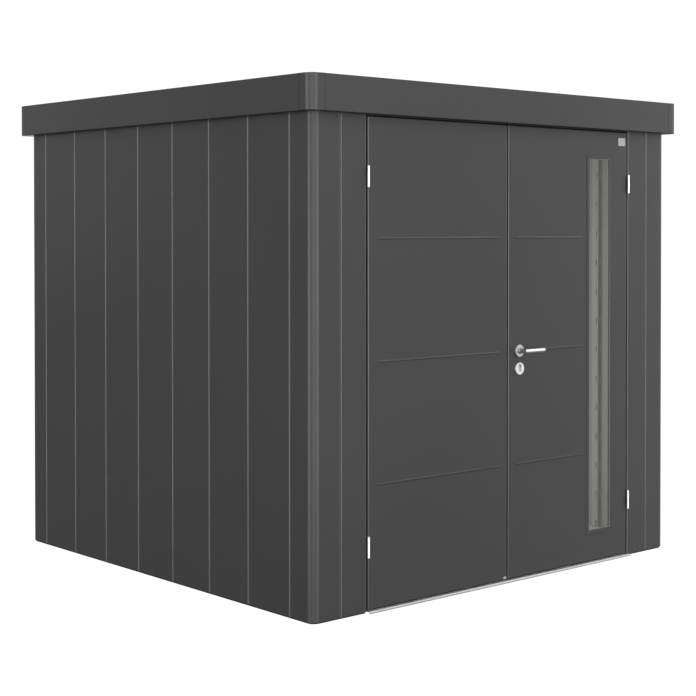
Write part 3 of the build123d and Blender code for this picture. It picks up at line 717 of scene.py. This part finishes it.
class Blueprint(Graph):
    """A geometry node tree with named inputs."""

    def __init__(self, name: str) -> None:
        """Starts with a seed mesh coming in and a material to set.

        Args:
            name: the tree's name.
        """
        super().__init__(bpy.data.node_groups.new(name, "GeometryNodeTree"))
        self.tree.is_modifier = True
        self.tree.interface.new_socket("Geometry", in_out="OUTPUT", socket_type="NodeSocketGeometry")
        self.identifiers: dict[str, str] = {}
        self.entry = self.node("NodeGroupInput")
        self.seed = self.input("Seed", "NodeSocketGeometry")
        self.material = self.input("Material", "NodeSocketMaterial")

    def input(self, label: str, kind: str = "NodeSocketFloat") -> Wire:
        """Adds a named input.

        Args:
            label: the input's name.
            kind: its socket's type.

        Returns:
            The input's wire.
        """
        socket = self.tree.interface.new_socket(label, in_out="INPUT", socket_type=kind)
        self.identifiers[label] = socket.identifier
        return Wire(self, self.entry.outputs[label])

    def numbers(self, *labels: str) -> list[Wire]:
        """Adds a named number for each label, in order."""
        return [self.input(label) for label in labels]

    def moved(self, shape: Wire, **places: object) -> Wire:
        """Moves, turns or stretches a shape, by the names of the Transform node's inputs."""
        return self.wire("GeometryNodeTransform", None, {"Geometry": shape, **places})

    def can(self, sides: int, radius: Value, length: Value) -> Wire:
        """Makes an upright prism with its middle at the origin."""
        inputs = {"Vertices": sides, "Radius": radius, "Depth": length}
        return self.wire("GeometryNodeMeshCylinder", None, inputs)

    def set_out(self, shape: Wire, **turn: Wire) -> None:
        """Ends the tree with the shape on each point of the seed, turned by a Rotation if one is given."""
        inputs = {"Points": self.seed, "Instance": shape, **turn}
        self.end(self.wire("GeometryNodeInstanceOnPoints", None, inputs))

    def end(self, geometry: Wire) -> None:
        """Ends the tree: the instances become real and take the material.

        Args:
            geometry: what the tree has made.
        """
        real = self.wire("GeometryNodeRealizeInstances", None, {0: geometry})
        dressed = self.wire("GeometryNodeSetMaterial", None, {"Geometry": real, "Material": self.material})
        self.node("NodeGroupOutput", None, {0: dressed})

    def grow(self, seed: bpy.types.Mesh, values: Mapping[str, object]) -> bpy.types.Mesh:
        """Runs the tree once.

        Args:
            seed: the mesh that comes in.
            values: a value for each named input.

        Returns:
            The plain mesh that comes out.
        """
        host = put("seed", seed)
        modifier = host.modifiers.new("grow", "NODES")
        modifier.node_group = self.tree
        for label, value in values.items():
            modifier[self.identifiers[label]] = value
        return evaluated_mesh(host)


def connected(work: bmesh.types.BMesh) -> list[list[bmesh.types.BMFace]]:
    """Sorts the faces of a mesh into its separate pieces.

    Args:
        work: the mesh.

    Returns:
        The faces of each piece.
    """
    waiting = set(work.faces)
    pieces = []
    while waiting:
        piece = [waiting.pop()]
        for face in piece:
            near = {link for edge in face.edges for link in edge.link_faces} & waiting
            waiting -= near
            piece.extend(near)
        pieces.append(piece)
    return pieces


def span(faces: Sequence[bmesh.types.BMFace]) -> tuple[Vector, Vector]:
    """Gives the low and the high corner of the box round some faces."""
    spots = [vertex.co for face in faces for vertex in face.verts]
    return Vector([min(axis) for axis in zip(*spots)]), Vector([max(axis) for axis in zip(*spots)])


def dots(places: Sequence[Point]) -> bpy.types.Mesh:
    """Makes a seed mesh of loose points.

    Args:
        places: where the points are.

    Returns:
        The seed mesh.
    """
    mesh = bpy.data.meshes.new("dots")
    mesh.from_pydata([tuple(place) for place in places], [], [])
    return mesh


def ring(places: Sequence[Point]) -> bpy.types.Mesh:
    """Makes a seed mesh of one closed line.

    Args:
        places: the line's corners, in order.

    Returns:
        The seed mesh.
    """
    mesh = bpy.data.meshes.new("ring")
    count = len(places)
    mesh.from_pydata([tuple(place) for place in places], [(i, (i + 1) % count) for i in range(count)], [])
    return mesh


class ScrewTree(Blueprint):
    """Hexagon heads on washers, one on each point, each turned at random."""

    HEAD_SIDES = 6
    WASHER_SIDES = 16
    RANDOM_SEED = 7

    def __init__(self) -> None:
        """Builds the tree."""
        super().__init__("screws")
        radius, height, washer_radius, washer_height = self.numbers(
            "Head Radius", "Head Height", "Washer Radius", "Washer Height"
        )
        head = self.raised(self.HEAD_SIDES, radius, height, washer_height + height * 0.5)
        washer = self.raised(self.WASHER_SIDES, washer_radius, washer_height, washer_height * 0.5)
        screw = self.node("GeometryNodeJoinGeometry")
        for part in (head, washer):
            self.tree.links.new(part.socket, screw.inputs[0])
        inputs = {2: 0.0, 3: 2 * math.pi, "Seed": self.RANDOM_SEED}
        turn = self.wire("FunctionNodeRandomValue", {"data_type": "FLOAT"}, inputs, output=1)
        self.set_out(Wire(self, screw.outputs[0]), Rotation=self.joined(Z=turn))

    def raised(self, sides: int, radius: Wire, height: Wire, middle: Wire) -> Wire:
        """Makes an upright prism with its middle at a height."""
        return self.moved(self.can(sides, radius, height), Translation=self.joined(Z=middle))


class SealTree(Blueprint):
    """A strip with a rounded section that follows a closed line."""

    ROUNDING = 0.35
    ROUND_STEPS = 2

    def __init__(self) -> None:
        """Builds the tree."""
        super().__init__("seal")
        width, depth = self.numbers("Width", "Depth")
        path = self.wire("GeometryNodeMeshToCurve", None, {"Mesh": self.seed})
        inputs = {"Width": width, "Height": depth}
        section = self.wire("GeometryNodeCurvePrimitiveQuadrilateral", None, inputs)
        radius = width.least(depth) * self.ROUNDING
        inputs = {"Curve": section, "Radius": radius, "Limit Radius": True, "Count": self.ROUND_STEPS}
        rounded = self.wire("GeometryNodeFilletCurve", {"mode": "POLY"}, inputs)
        inputs = {"Curve": path, "Profile Curve": rounded}
        self.end(self.wire("GeometryNodeCurveToMesh", None, inputs))


class LozengeTree(Blueprint):
    """Raised lozenges of tread plate, one on each point, turned this way and that."""

    SIDES = 8
    TOP_SHARE = 0.55

    def __init__(self) -> None:
        """Builds the tree."""
        super().__init__("lozenges")
        length, width, height = self.numbers("Length", "Width", "Height")
        inputs = {"Vertices": self.SIDES, "Radius Top": self.TOP_SHARE, "Radius Bottom": 1.0, "Depth": 1.0}
        bar = self.wire("GeometryNodeMeshCone", None, inputs)
        size = self.joined(X=length * 0.5, Y=width * 0.5, Z=height)
        odd = self.math("MODULO", self.wire("GeometryNodeInputIndex"), 2.0)
        turn = self.joined(Z=math.pi / 4 + odd * (math.pi / 2))
        self.set_out(self.moved(bar, Scale=size), Rotation=turn)


class RibTree(Blueprint):
    """Long low ribs side by side, as on a pressed or drawn strip."""

    SIDES = 8

    def __init__(self) -> None:
        """Builds the tree."""
        super().__init__("ribs")
        length, width, height = self.numbers("Length", "Width", "Height")
        size = self.joined(X=height * 2.0, Y=width, Z=length)
        bar = self.can(self.SIDES, 0.5, 1.0)
        self.set_out(self.moved(bar, Scale=size, Rotation=(0.0, math.pi / 2, 0.0)))


class CordTree(Blueprint):
    """Upright round cords, one on each point."""

    SIDES = 8

    def __init__(self) -> None:
        """Builds the tree."""
        super().__init__("cords")
        radius, length = self.numbers("Radius", "Length")
        lift = self.joined(Z=length * 0.5)
        self.set_out(self.moved(self.can(self.SIDES, radius, length), Translation=lift))


def turned(
    profile: Sequence[tuple[float, float]],
    centre: Vector,
    direction: Vector,
    sides: int = 40,
    weld: float = 1e-6,
    crease: float = math.radians(35),
) -> bpy.types.Mesh:
    """Turns a profile round an axis into a closed mesh.

    Args:
        profile: pairs of (distance along the axis, radius), from one end to the other.
        centre: where the axis starts.
        direction: the way that the axis runs.
        sides: how many sides the turned form has.
        weld: how close two corners lie that are the same one.
        crease: the angle from which an edge stays sharp.

    Returns:
        The smooth-shaded mesh, in place.
    """
    mesh = bpy.data.meshes.new("turned")
    across = direction.orthogonal().normalized()
    with opened(mesh) as work:
        line = [work.verts.new(centre + direction * along + across * radius) for along, radius in profile]
        edges = [work.edges.new(pair) for pair in zip(line, line[1:])]
        bmesh.ops.spin(work, geom=line + edges, cent=centre, axis=direction, angle=2 * math.pi, steps=sides)
        bmesh.ops.remove_doubles(work, verts=work.verts, dist=weld)
        bmesh.ops.recalc_face_normals(work, faces=work.faces)
    mesh.shade_smooth()
    mesh.set_sharp_from_angle(angle=crease)
    return mesh


@dataclass(frozen=True)
class Panels:
    """The folded sheets of the walls, the roof's edge and the leaves, and the uprights behind them."""

    fold_width: float = 0.001
    fold_length: float = 1.0
    rail_lip: float = 0.008
    uprights: tuple[str, ...] = ("uprights_left", "uprights_right", "uprights_back")
    lined: tuple[str, ...] = (
        "left_wall",
        "right_wall",
        "back_wall",
        "corner_front_left",
        "corner_front_right",
        "corner_back_left",
        "corner_back_right",
    )

    def build(self, frame: Frame, palette: Palette) -> None:
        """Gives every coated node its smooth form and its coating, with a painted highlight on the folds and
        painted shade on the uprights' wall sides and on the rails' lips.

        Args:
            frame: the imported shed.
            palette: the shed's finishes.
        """
        form = SmoothForm()
        for node, slot in frame.slots.items():
            if slot is Slot.SHEET and node != "base_rails":
                mesh = form.stand_in(frame, node, palette.sheet).data
                # The folds take a painted highlight.
                self.paint_fold_highlights(mesh, palette.fold_highlight)
                if node in self.lined:
                    self.line(mesh, palette.lining)
        for node in self.uprights:
            # The uprights' sides turned to the wall take painted shade, for the dark channel behind the
            # slots.
            self.line(form.stand_in(frame, node, palette.upright).data, palette.plate)
        # The rails' lips take painted shade; the rest stays bare aluminium.
        self.shade_rail_lips(form.stand_in(frame, "base_rails", palette.rail_shade).data, palette.aluminium)

    def paint_fold_highlights(self, mesh: bpy.types.Mesh, finish: bpy.types.Material) -> None:
        """Gives the long narrow faces, which are the folds, a brighter and glossier copy of the coating: a
        painted highlight for the light that the rounded folds catch.

        Args:
            mesh: the sheets.
            finish: the folds' painted highlight.
        """
        mesh.materials.append(finish)
        with opened(mesh) as work:
            for face in work.faces:
                length = max(edge.calc_length() for edge in face.edges)
                if length > self.fold_length and face.calc_area() < length * self.fold_width:
                    face.material_index = 1

    def line(self, mesh: bpy.types.Mesh, lining: bpy.types.Material) -> None:
        """Coats the inner side of each sheet, the faces turned to the sheet's own middle.

        Args:
            mesh: the sheets.
            lining: the inner side's coating; on the uprights, the near-black painted shade of the channel
                behind the slots.
        """
        mesh.materials.append(lining)
        with opened(mesh) as work:
            for sheet in connected(work):
                low, high = span(sheet)
                middle = (low + high) / 2
                for face in sheet:
                    if (face.calc_center_median() - middle).dot(face.normal) < 0:
                        face.material_index = len(mesh.materials) - 1

    def shade_rail_lips(self, mesh: bpy.types.Mesh, bare: bpy.types.Material) -> None:
        """Leaves the rails bare above their lip, where they stand inside the walls; the lip below keeps the
        near-black painted shade of the shadow line under the walls.

        Args:
            mesh: the rails.
            bare: the bare metal.
        """
        mesh.materials.append(bare)
        for face in mesh.polygons:
            if face.center.z > self.rail_lip:
                face.material_index = 1


@dataclass(frozen=True)
class Joints:
    """The soft cords that close the joints between the wall sheets against the light from behind; their
    near-black colour is painted shade for the dark inside the gaps.
    """

    walls: tuple[str, ...] = ("left_wall", "right_wall", "back_wall")
    joint: float = 0.002
    radius: float = 0.00098
    end_gap: float = 0.002
    digits: int = 4

    def build(self, frame: Frame, palette: Palette) -> None:
        """Sets one cord in each joint, halfway into the wall.

        Args:
            frame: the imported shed.
            palette: the shed's finishes.
        """
        side_low, side_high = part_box("left_wall")
        depth = (side_high.x - side_low.x) / 2
        left_low, left_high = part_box("front_panel_left")
        right_low, right_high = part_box("front_panel_right")
        places = [
            (left_low.x - self.joint / 2, left_low.y + depth, side_low.z),
            (right_high.x + self.joint / 2, right_low.y + depth, side_low.z),
        ]
        for node in self.walls:
            places += self.along(frame.nodes[node].data)
        places = [(x, y, z + self.end_gap) for x, y, z in places]
        values = {
            "Material": palette.seal,
            "Radius": self.radius,
            "Length": side_high.z - side_low.z - 2 * self.end_gap,
        }
        keep(CordTree().grow(dots(places), values), "joint_cords", Body.SHELL)

    def along(self, mesh: bpy.types.Mesh) -> list[Point]:
        """Finds the foot of each joint of a wall, one before each sheet and one after the last.

        Args:
            mesh: the wall's sheets.

        Returns:
            The joints' places, where two sheets share one given once.
        """
        work = bmesh.new()
        work.from_mesh(mesh)
        bmesh.ops.remove_doubles(work, verts=work.verts, dist=WELD)
        boxes = [span(sheet) for sheet in connected(work)]
        work.free()
        places: list[Point] = []
        for low, high in boxes:
            middle = (low + high) / 2
            if high.x - low.x > high.y - low.y:
                places += [(x, middle.y, low.z) for x in (low.x - self.joint / 2, high.x + self.joint / 2)]
            else:
                places += [(middle.x, y, low.z) for y in (low.y - self.joint / 2, high.y + self.joint / 2)]
        return sorted({tuple(round(value, self.digits) for value in place) for place in places})


@dataclass(frozen=True)
class PlainNodes:
    """Nodes whose shape is right as it is and which only take a finish."""

    def build(self, frame: Frame, palette: Palette) -> None:
        """Paints every node by the finish that the record names, before the smooth forms take over.

        Args:
            frame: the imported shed.
            palette: the shed's finishes.
        """
        for node, slot in frame.slots.items():
            special = palette.floor if node.startswith("floor_panel") else palette.by_slot[slot]
            frame.paint(node, special)
        LOG.info("painted %d nodes", len(frame.slots))


@dataclass(frozen=True)
class Roof:
    """The ribbed roof sheets' screws, over each beam."""

    ribs_per_sheet: int = 4
    beams: int = 4
    beam_width: float = 0.04
    rib_rise: float = 0.0195
    head_radius: float = 0.004
    head_height: float = 0.004
    washer_radius: float = 0.008
    washer_height: float = 0.0012

    def build(self, frame: Frame, palette: Palette) -> None:
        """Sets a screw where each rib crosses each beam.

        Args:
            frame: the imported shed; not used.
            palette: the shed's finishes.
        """
        beam_low, beam_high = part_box("roof_beams")
        step = (beam_high.y - beam_low.y - self.beam_width) / (self.beams - 1)
        places: list[Point] = []
        for node in ("roof_deck_left", "roof_deck_right"):
            low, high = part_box(node)
            fall = (high.z - low.z - self.rib_rise) / (high.y - low.y)
            pitch = (high.x - low.x) / self.ribs_per_sheet
            for beam in range(self.beams):
                y = beam_low.y + self.beam_width / 2 + beam * step
                for rib in range(self.ribs_per_sheet):
                    places.append((low.x + (rib + 0.5) * pitch, y, high.z - (y - low.y) * fall))
        mesh = ScrewTree().grow(
            dots(places),
            {
                "Material": palette.stainless,
                "Head Radius": self.head_radius,
                "Head Height": self.head_height,
                "Washer Radius": self.washer_radius,
                "Washer Height": self.washer_height,
            },
        )
        keep(mesh, "roof_screws", Body.SHELL)


@dataclass(frozen=True)
class Floor:
    """The raised tread pattern on the floor plates."""

    pitch: float = 0.034
    margin: float = 0.02
    length: float = 0.026
    width: float = 0.006
    height: float = 0.0012

    def build(self, frame: Frame, palette: Palette) -> None:
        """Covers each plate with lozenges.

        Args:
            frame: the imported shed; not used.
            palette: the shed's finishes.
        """
        tree = LozengeTree()
        for node in ("floor_panel_left", "floor_panel_right"):
            low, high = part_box(node)
            columns = int((high.x - low.x - 2 * self.margin) / self.pitch) // 2 * 2
            rows = int((high.y - low.y - 2 * self.margin) / self.pitch)
            middle = (low + high) / 2
            places: list[Point] = []
            for row in range(rows):
                for column in range(columns + 1):
                    x = middle.x + (column - columns / 2) * self.pitch
                    places.append((x, middle.y + (row - (rows - 1) / 2) * self.pitch, high.z))
            values = {
                "Material": palette.floor,
                "Length": self.length,
                "Width": self.width,
                "Height": self.height,
            }
            mesh = tree.grow(dots(places), values)
            keep(mesh, f"{node}_tread", Body.SHELL)


@dataclass(frozen=True)
class Sill:
    """The aluminium sill with its drawn ribs."""

    ribs: int = 5
    pitch: float = 0.012
    first: float = 0.009
    end_gap: float = 0.004
    width: float = 0.003
    height: float = 0.0006
    edge: float = 0.0006

    def build(self, frame: Frame, palette: Palette) -> None:
        """Softens the sill's edges and lays the ribs along its top.

        Args:
            frame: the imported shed.
            palette: the shed's finishes.
        """
        SmoothForm(edge=self.edge).stand_in(frame, "door_sill", palette.aluminium)
        low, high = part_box("door_sill")
        middle = (low.x + high.x) / 2
        places = [(middle, low.y + self.first + rib * self.pitch, high.z) for rib in range(self.ribs)]
        values = {
            "Material": palette.aluminium,
            "Length": high.x - low.x - 2 * self.end_gap,
            "Width": self.width,
            "Height": self.height,
        }
        keep(RibTree().grow(dots(places), values), "sill_ribs", Body.SHELL)


@dataclass(frozen=True)
class Window:
    """The rubber seal between the window's frame and its pane."""

    lap: float = 0.006
    width: float = 0.004
    depth: float = 0.003

    def build(self, frame: Frame, palette: Palette) -> None:
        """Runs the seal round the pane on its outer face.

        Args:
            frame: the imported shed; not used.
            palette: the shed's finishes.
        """
        low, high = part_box("window_pane")
        inset = self.lap + self.width / 2
        y = low.y - self.depth / 2
        line = [
            (low.x + inset, y, low.z + inset),
            (high.x - inset, y, low.z + inset),
            (high.x - inset, y, high.z - inset),
            (low.x + inset, y, high.z - inset),
        ]
        values = {"Material": palette.rubber, "Width": self.width, "Depth": self.depth}
        keep(SealTree().grow(ring(line), values), "window_seal", Body.RIGHT_LEAF)


@dataclass(frozen=True)
class LockSet:
    """The lever, its roses and the lock cylinder."""

    edge: float = 0.0008
    collar_radius: float = 0.0125
    collar_length: float = 0.006
    collar_shoulder: float = 0.7
    collar_play: float = 0.0002
    collar_lift: float = 0.0003
    stem_share: float = 0.6
    rose_gap: float = 0.02
    keyway_width: float = 0.0034
    keyway_height: float = 0.0105
    keyway_depth: float = 0.0004
    keyway_round: float = 0.00015
    keyway_steps: int = 2

    def build(self, frame: Frame, palette: Palette) -> None:
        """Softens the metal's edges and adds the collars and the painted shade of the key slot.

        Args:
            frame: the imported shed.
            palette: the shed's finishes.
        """
        soft = SmoothForm(edge=self.edge)
        for node in ("lever_outer", "lever_inner"):
            self.stem(soft.stand_in(frame, node, palette.stainless).data, palette)
        self.roses(soft.stand_in(frame, "lock_roses", palette.rose).data, palette)
        SmoothForm(edge=self.edge / 2).stand_in(frame, "lock_cylinder", palette.brass)
        self.collars(palette)
        self.key_slot_shade(palette)

    def stem(self, mesh: bpy.types.Mesh, palette: Palette) -> None:
        """Gives the part of the lever that stands out from its rose the collar's duller finish.

        Args:
            mesh: one of the two levers.
            palette: the shed's finishes.
        """
        mesh.materials.append(palette.dull)
        spindle_low, spindle_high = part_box("lever_spindle")
        lever_low, lever_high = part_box("lever_outer")
        axis, reach = (spindle_low.x + spindle_high.x) / 2, (lever_high.z - lever_low.z) * self.stem_share
        for face in mesh.polygons:
            if abs(face.center.x - axis) < reach:
                face.material_index = 1

    def roses(self, mesh: bpy.types.Mesh, palette: Palette) -> None:
        """Gives the two roses of the lever a greyer finish than those of the lock.

        Args:
            mesh: the four roses.
            palette: the shed's finishes.
        """
        mesh.materials.append(palette.satin)
        lock_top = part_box("lock_cylinder")[1].z
        for face in mesh.polygons:
            if face.center.z > lock_top + self.rose_gap:
                face.material_index = 1

    def collars(self, palette: Palette) -> None:
        """Turns a ring round each stem of the lever, on its rose.

        Args:
            palette: the shed's finishes.
        """
        spindle_low, spindle_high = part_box("lever_spindle")
        rose_low, rose_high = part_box("lock_roses")
        middle = (spindle_low + spindle_high) / 2
        lever_low, lever_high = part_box("lever_outer")
        stem = (lever_high.z - lever_low.z) / 2 - self.collar_play
        profile = [
            (0.0, stem),
            (0.0, self.collar_radius),
            (self.collar_length * self.collar_shoulder, self.collar_radius),
            (self.collar_length, self.collar_radius - self.collar_length * (1 - self.collar_shoulder)),
            (self.collar_length, stem),
        ]
        for side, start, way in (("outer", rose_low.y, -1.0), ("inner", rose_high.y, 1.0)):
            centre = Vector((middle.x, start + way * self.collar_lift, middle.z))
            mesh = turned(profile, centre, Vector((0.0, way, 0.0)))
            keep(mesh, f"lever_collar_{side}", Body.LEVER, palette.dull)

    def key_slot_shade(self, palette: Palette) -> None:
        """Marks the key slot on the cylinder's outer face with a thin near-black box: painted shade for the
        hollow of the slot.

        Args:
            palette: the shed's finishes.
        """
        low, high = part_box("lock_cylinder")
        radius = (high.x - low.x) / 2
        centre = Vector(((low.x + high.x) / 2, low.y, high.z - radius))
        scale = Matrix.Diagonal((self.keyway_width, self.keyway_depth, self.keyway_height, 1.0))
        mesh = bpy.data.meshes.new("key_slot_shade")
        with opened(mesh) as work:
            bmesh.ops.create_cube(work, size=1.0)
            bmesh.ops.transform(work, matrix=Matrix.Translation(centre) @ scale, verts=work.verts)
            bmesh.ops.bevel(
                work,
                geom=list(work.edges),
                offset=self.keyway_round,
                segments=self.keyway_steps,
                affect="EDGES",
                clamp_overlap=True,
            )
        keep(mesh, "key_slot_shade", Body.RIGHT_LEAF, palette.key_slot_shade)


@dataclass(frozen=True)
class Hinges:
    """The hinges' bright barrels and the dark plates behind them."""

    edge: float = 0.0006
    plate_depth: float = 0.0035

    def build(self, frame: Frame, palette: Palette) -> None:
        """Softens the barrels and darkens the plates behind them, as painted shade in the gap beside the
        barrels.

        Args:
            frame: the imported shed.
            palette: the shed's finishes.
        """
        soft = SmoothForm(edge=self.edge)
        wall_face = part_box("front_panel_left")[0].y
        for node in ("frame_hinges", "left_leaf_hinges", "right_leaf_hinges"):
            piece = soft.stand_in(frame, node, palette.hinge)
            piece.data.materials.append(palette.plate)
            # Painted shade: the plates in the gap behind the front face take the near-black finish.
            for face in piece.data.polygons:
                if face.center.y > wall_face - self.plate_depth:
                    face.material_index = 1


@dataclass(frozen=True)
class Badge:
    """The bare plates on the leaves."""

    edge: float = 0.0005

    def build(self, frame: Frame, palette: Palette) -> None:
        """Softens the plates' edges.

        Args:
            frame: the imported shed.
            palette: the shed's finishes.
        """
        for node in ("badge_plate", "foot_plate"):
            SmoothForm(edge=self.edge).stand_in(frame, node, palette.badge)


def hang_light(name: str, place: Vector, way: Vector, size: tuple[float, float], energy: float) -> None:
    """Hangs a rectangular light that the camera doesn't see.

    Args:
        name: the light's name.
        place: where its middle is.
        way: the direction that its back is turned to.
        size: its width and height.
        energy: its power.
    """
    light = bpy.data.lights.new(name, "AREA")
    light.shape = "RECTANGLE"
    light.size, light.size_y = size
    light.energy = energy
    lamp = put(name, light)
    lamp.location = place
    lamp.rotation_euler = way.to_track_quat("Z", "Y").to_euler()
    lamp.visible_camera = False


@dataclass(frozen=True)
class Softbox:
    """An upright studio light that faces the shed; its glow is how bright its face is."""

    name: str
    azimuth: float
    elevation: float
    distance: float
    width: float
    height: float
    glow: float
    target: Point = (0.0, 0.0, 1.1)

    def build(self) -> None:
        """Hangs the light; azimuth 0 is in front of the doors and 90 is on the left."""
        turn, tilt = math.radians(self.azimuth), math.radians(self.elevation)
        way = Vector((-math.sin(turn) * math.cos(tilt), -math.cos(turn) * math.cos(tilt), math.sin(tilt)))
        place = Vector(self.target) + way * self.distance
        energy = self.glow * math.pi * self.width * self.height
        hang_light(self.name, place, way, (self.width, self.height), energy)


@dataclass(frozen=True)
class Studio:
    """A pale floor, a pale room and soft light. The light's levels rise from the ground to the sky."""

    floor_half: float = 40.0
    room_radius: float = 60.0
    room_sides: int = 48
    sky: float = 0.95
    horizon: float = 0.62
    low: float = 0.6
    ground: float = 0.03
    stops: tuple[float, ...] = (0.0, 0.3, 0.39, 0.5, 1.0)
    brighter_side: Point = (0.14, -0.26, 0.0)
    strength: float = 0.85
    white: float = 1.05
    lamp_width: float = 0.5
    lamp_height: float = 1.9
    lamp_energy: float = 6.0
    lamp_place: Point = (0.25, -0.35, 1.0)
    lamp_way: Point = (-1.0, 0.35, 0.0)
    lights: tuple[Softbox, ...] = (
        Softbox("near right", 1.0, 2.0, 10.0, 5.0, 7.0, 5.0),
        Softbox("middle", 44.0, 2.0, 10.0, 5.8, 7.0, 3.3),
        Softbox("near left", 92.0, 2.0, 10.0, 4.4, 7.0, 5.6),
        Softbox("far right", -62.0, -8.0, 11.0, 4.5, 5.5, 0.8),
        Softbox("far right high", -68.0, 14.0, 11.0, 3.5, 3.5, 2.6),
        Softbox("far left", 156.0, 14.0, 11.0, 4.0, 5.0, 0.5),
        Softbox("high right", -46.0, 33.0, 11.0, 4.0, 3.0, 5.0),
        Softbox("top", 0.0, 70.0, 9.0, 4.0, 4.0, 1.5),
        Softbox("behind", 190.0, 6.0, 11.0, 6.0, 5.0, 1.8),
    )

    def build(self) -> None:
        """Sets the stage."""
        white = self.pale_material()
        half = self.floor_half
        mesh = bpy.data.meshes.new("studio_floor")
        square = [(x * half, y * half, 0.0) for x, y in ((-1, -1), (1, -1), (1, 1), (-1, 1))]
        mesh.from_pydata(square, [], [(0, 1, 2, 3)])
        self.stand("studio_floor", mesh, white)
        room = bpy.data.meshes.new("studio_room")
        sides = self.room_sides
        with opened(room) as work:
            bmesh.ops.create_uvsphere(work, u_segments=sides, v_segments=sides // 2, radius=self.room_radius)
        self.stand("studio_room", room, white)
        self.world()
        for light in self.lights:
            light.build()
        self.room_lamp()

    def pale_material(self) -> bpy.types.Material:
        """Makes the even white of the floor and the room.

        Returns:
            The finished material.
        """
        shader = Shader("pale studio")
        inputs = {"Color": (1.0, 1.0, 1.0, 1.0), "Strength": self.white}
        return shader.finish(shader.wire("ShaderNodeEmission", None, inputs))

    def stand(self, name: str, mesh: bpy.types.Mesh, material: bpy.types.Material) -> None:
        """Sets up a piece of the stage that only the camera sees.

        Args:
            name: the piece's name.
            mesh: its mesh, in place.
            material: its material.
        """
        mesh.materials.append(material)
        piece = put(name, mesh)
        piece.visible_diffuse = False
        piece.visible_glossy = False
        piece.visible_transmission = False
        piece.visible_shadow = False

    def world(self) -> None:
        """Lights the room softly from above and hardly from below."""
        world = bpy.data.worlds.new("studio light")
        world.use_nodes = True
        bpy.context.scene.world = world
        graph = Graph(world.node_tree)
        way = graph.wire("ShaderNodeTexCoord", output="Generated")
        height = graph.wire("ShaderNodeSeparateXYZ", None, {0: way}, output="Z")
        levels = (self.ground, self.ground, self.low, self.horizon, self.sky)
        grey = [(level, level, level) for level in levels]
        stops = {"stops": list(zip(self.stops, grey))}
        ramp = graph.wire("ShaderNodeValToRGB", stops, {0: height * 0.5 + 0.5})
        inputs = {0: way, 1: self.brighter_side}
        side = graph.wire("ShaderNodeVectorMath", {"operation": "DOT_PRODUCT"}, inputs, "Value")
        inputs = {"Color": ramp, "Strength": side + self.strength}
        background = graph.wire("ShaderNodeBackground", None, inputs)
        graph.node("ShaderNodeOutputWorld", None, {"Surface": background})

    def room_lamp(self) -> None:
        """Hangs a soft lamp inside the shed, which lights the wall behind the window."""
        size = (self.lamp_width, self.lamp_height)
        hang_light("inside", Vector(self.lamp_place), Vector(self.lamp_way), size, self.lamp_energy)


@dataclass(frozen=True)
class Camera:
    """The photograph's view: from the front left, at eye height, with the view shifted and not tilted."""

    place: Point = (-5.013, -5.887, 1.598)
    pitch: float = math.radians(0.907)
    yaw: float = math.radians(42.018)
    lens: float = 79.05
    sensor: float = 36.0
    shift_x: float = -0.0563
    shift_y: float = -0.1369
    sight: float = 200.0

    def build(self) -> None:
        """Sets up the camera."""
        data = bpy.data.cameras.new("camera")
        data.lens = self.lens
        data.sensor_width = self.sensor
        data.sensor_fit = "HORIZONTAL"
        data.shift_x = self.shift_x
        data.shift_y = self.shift_y
        data.clip_end = self.sight
        camera = put("camera", data)
        camera.location = self.place
        camera.rotation_euler = (math.pi / 2 - self.pitch, 0.0, -self.yaw)
        bpy.context.scene.camera = camera


def main() -> None:
    """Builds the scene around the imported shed."""
    logging.basicConfig(level=logging.INFO, format="%(message)s")
    bpy.context.scene.view_settings.view_transform = "Standard"
    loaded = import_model()
    Camera().build()
    frame = Frame(loaded)
    palette = Palette()
    PlainNodes().build(frame, palette)
    for assembly in (Panels(), Joints(), Roof(), Floor(), Sill(), Window(), LockSet(), Hinges(), Badge()):
        assembly.build(frame, palette)
    Studio().build()
    bpy.context.view_layer.update()


if __name__ == "__main__":
    main()
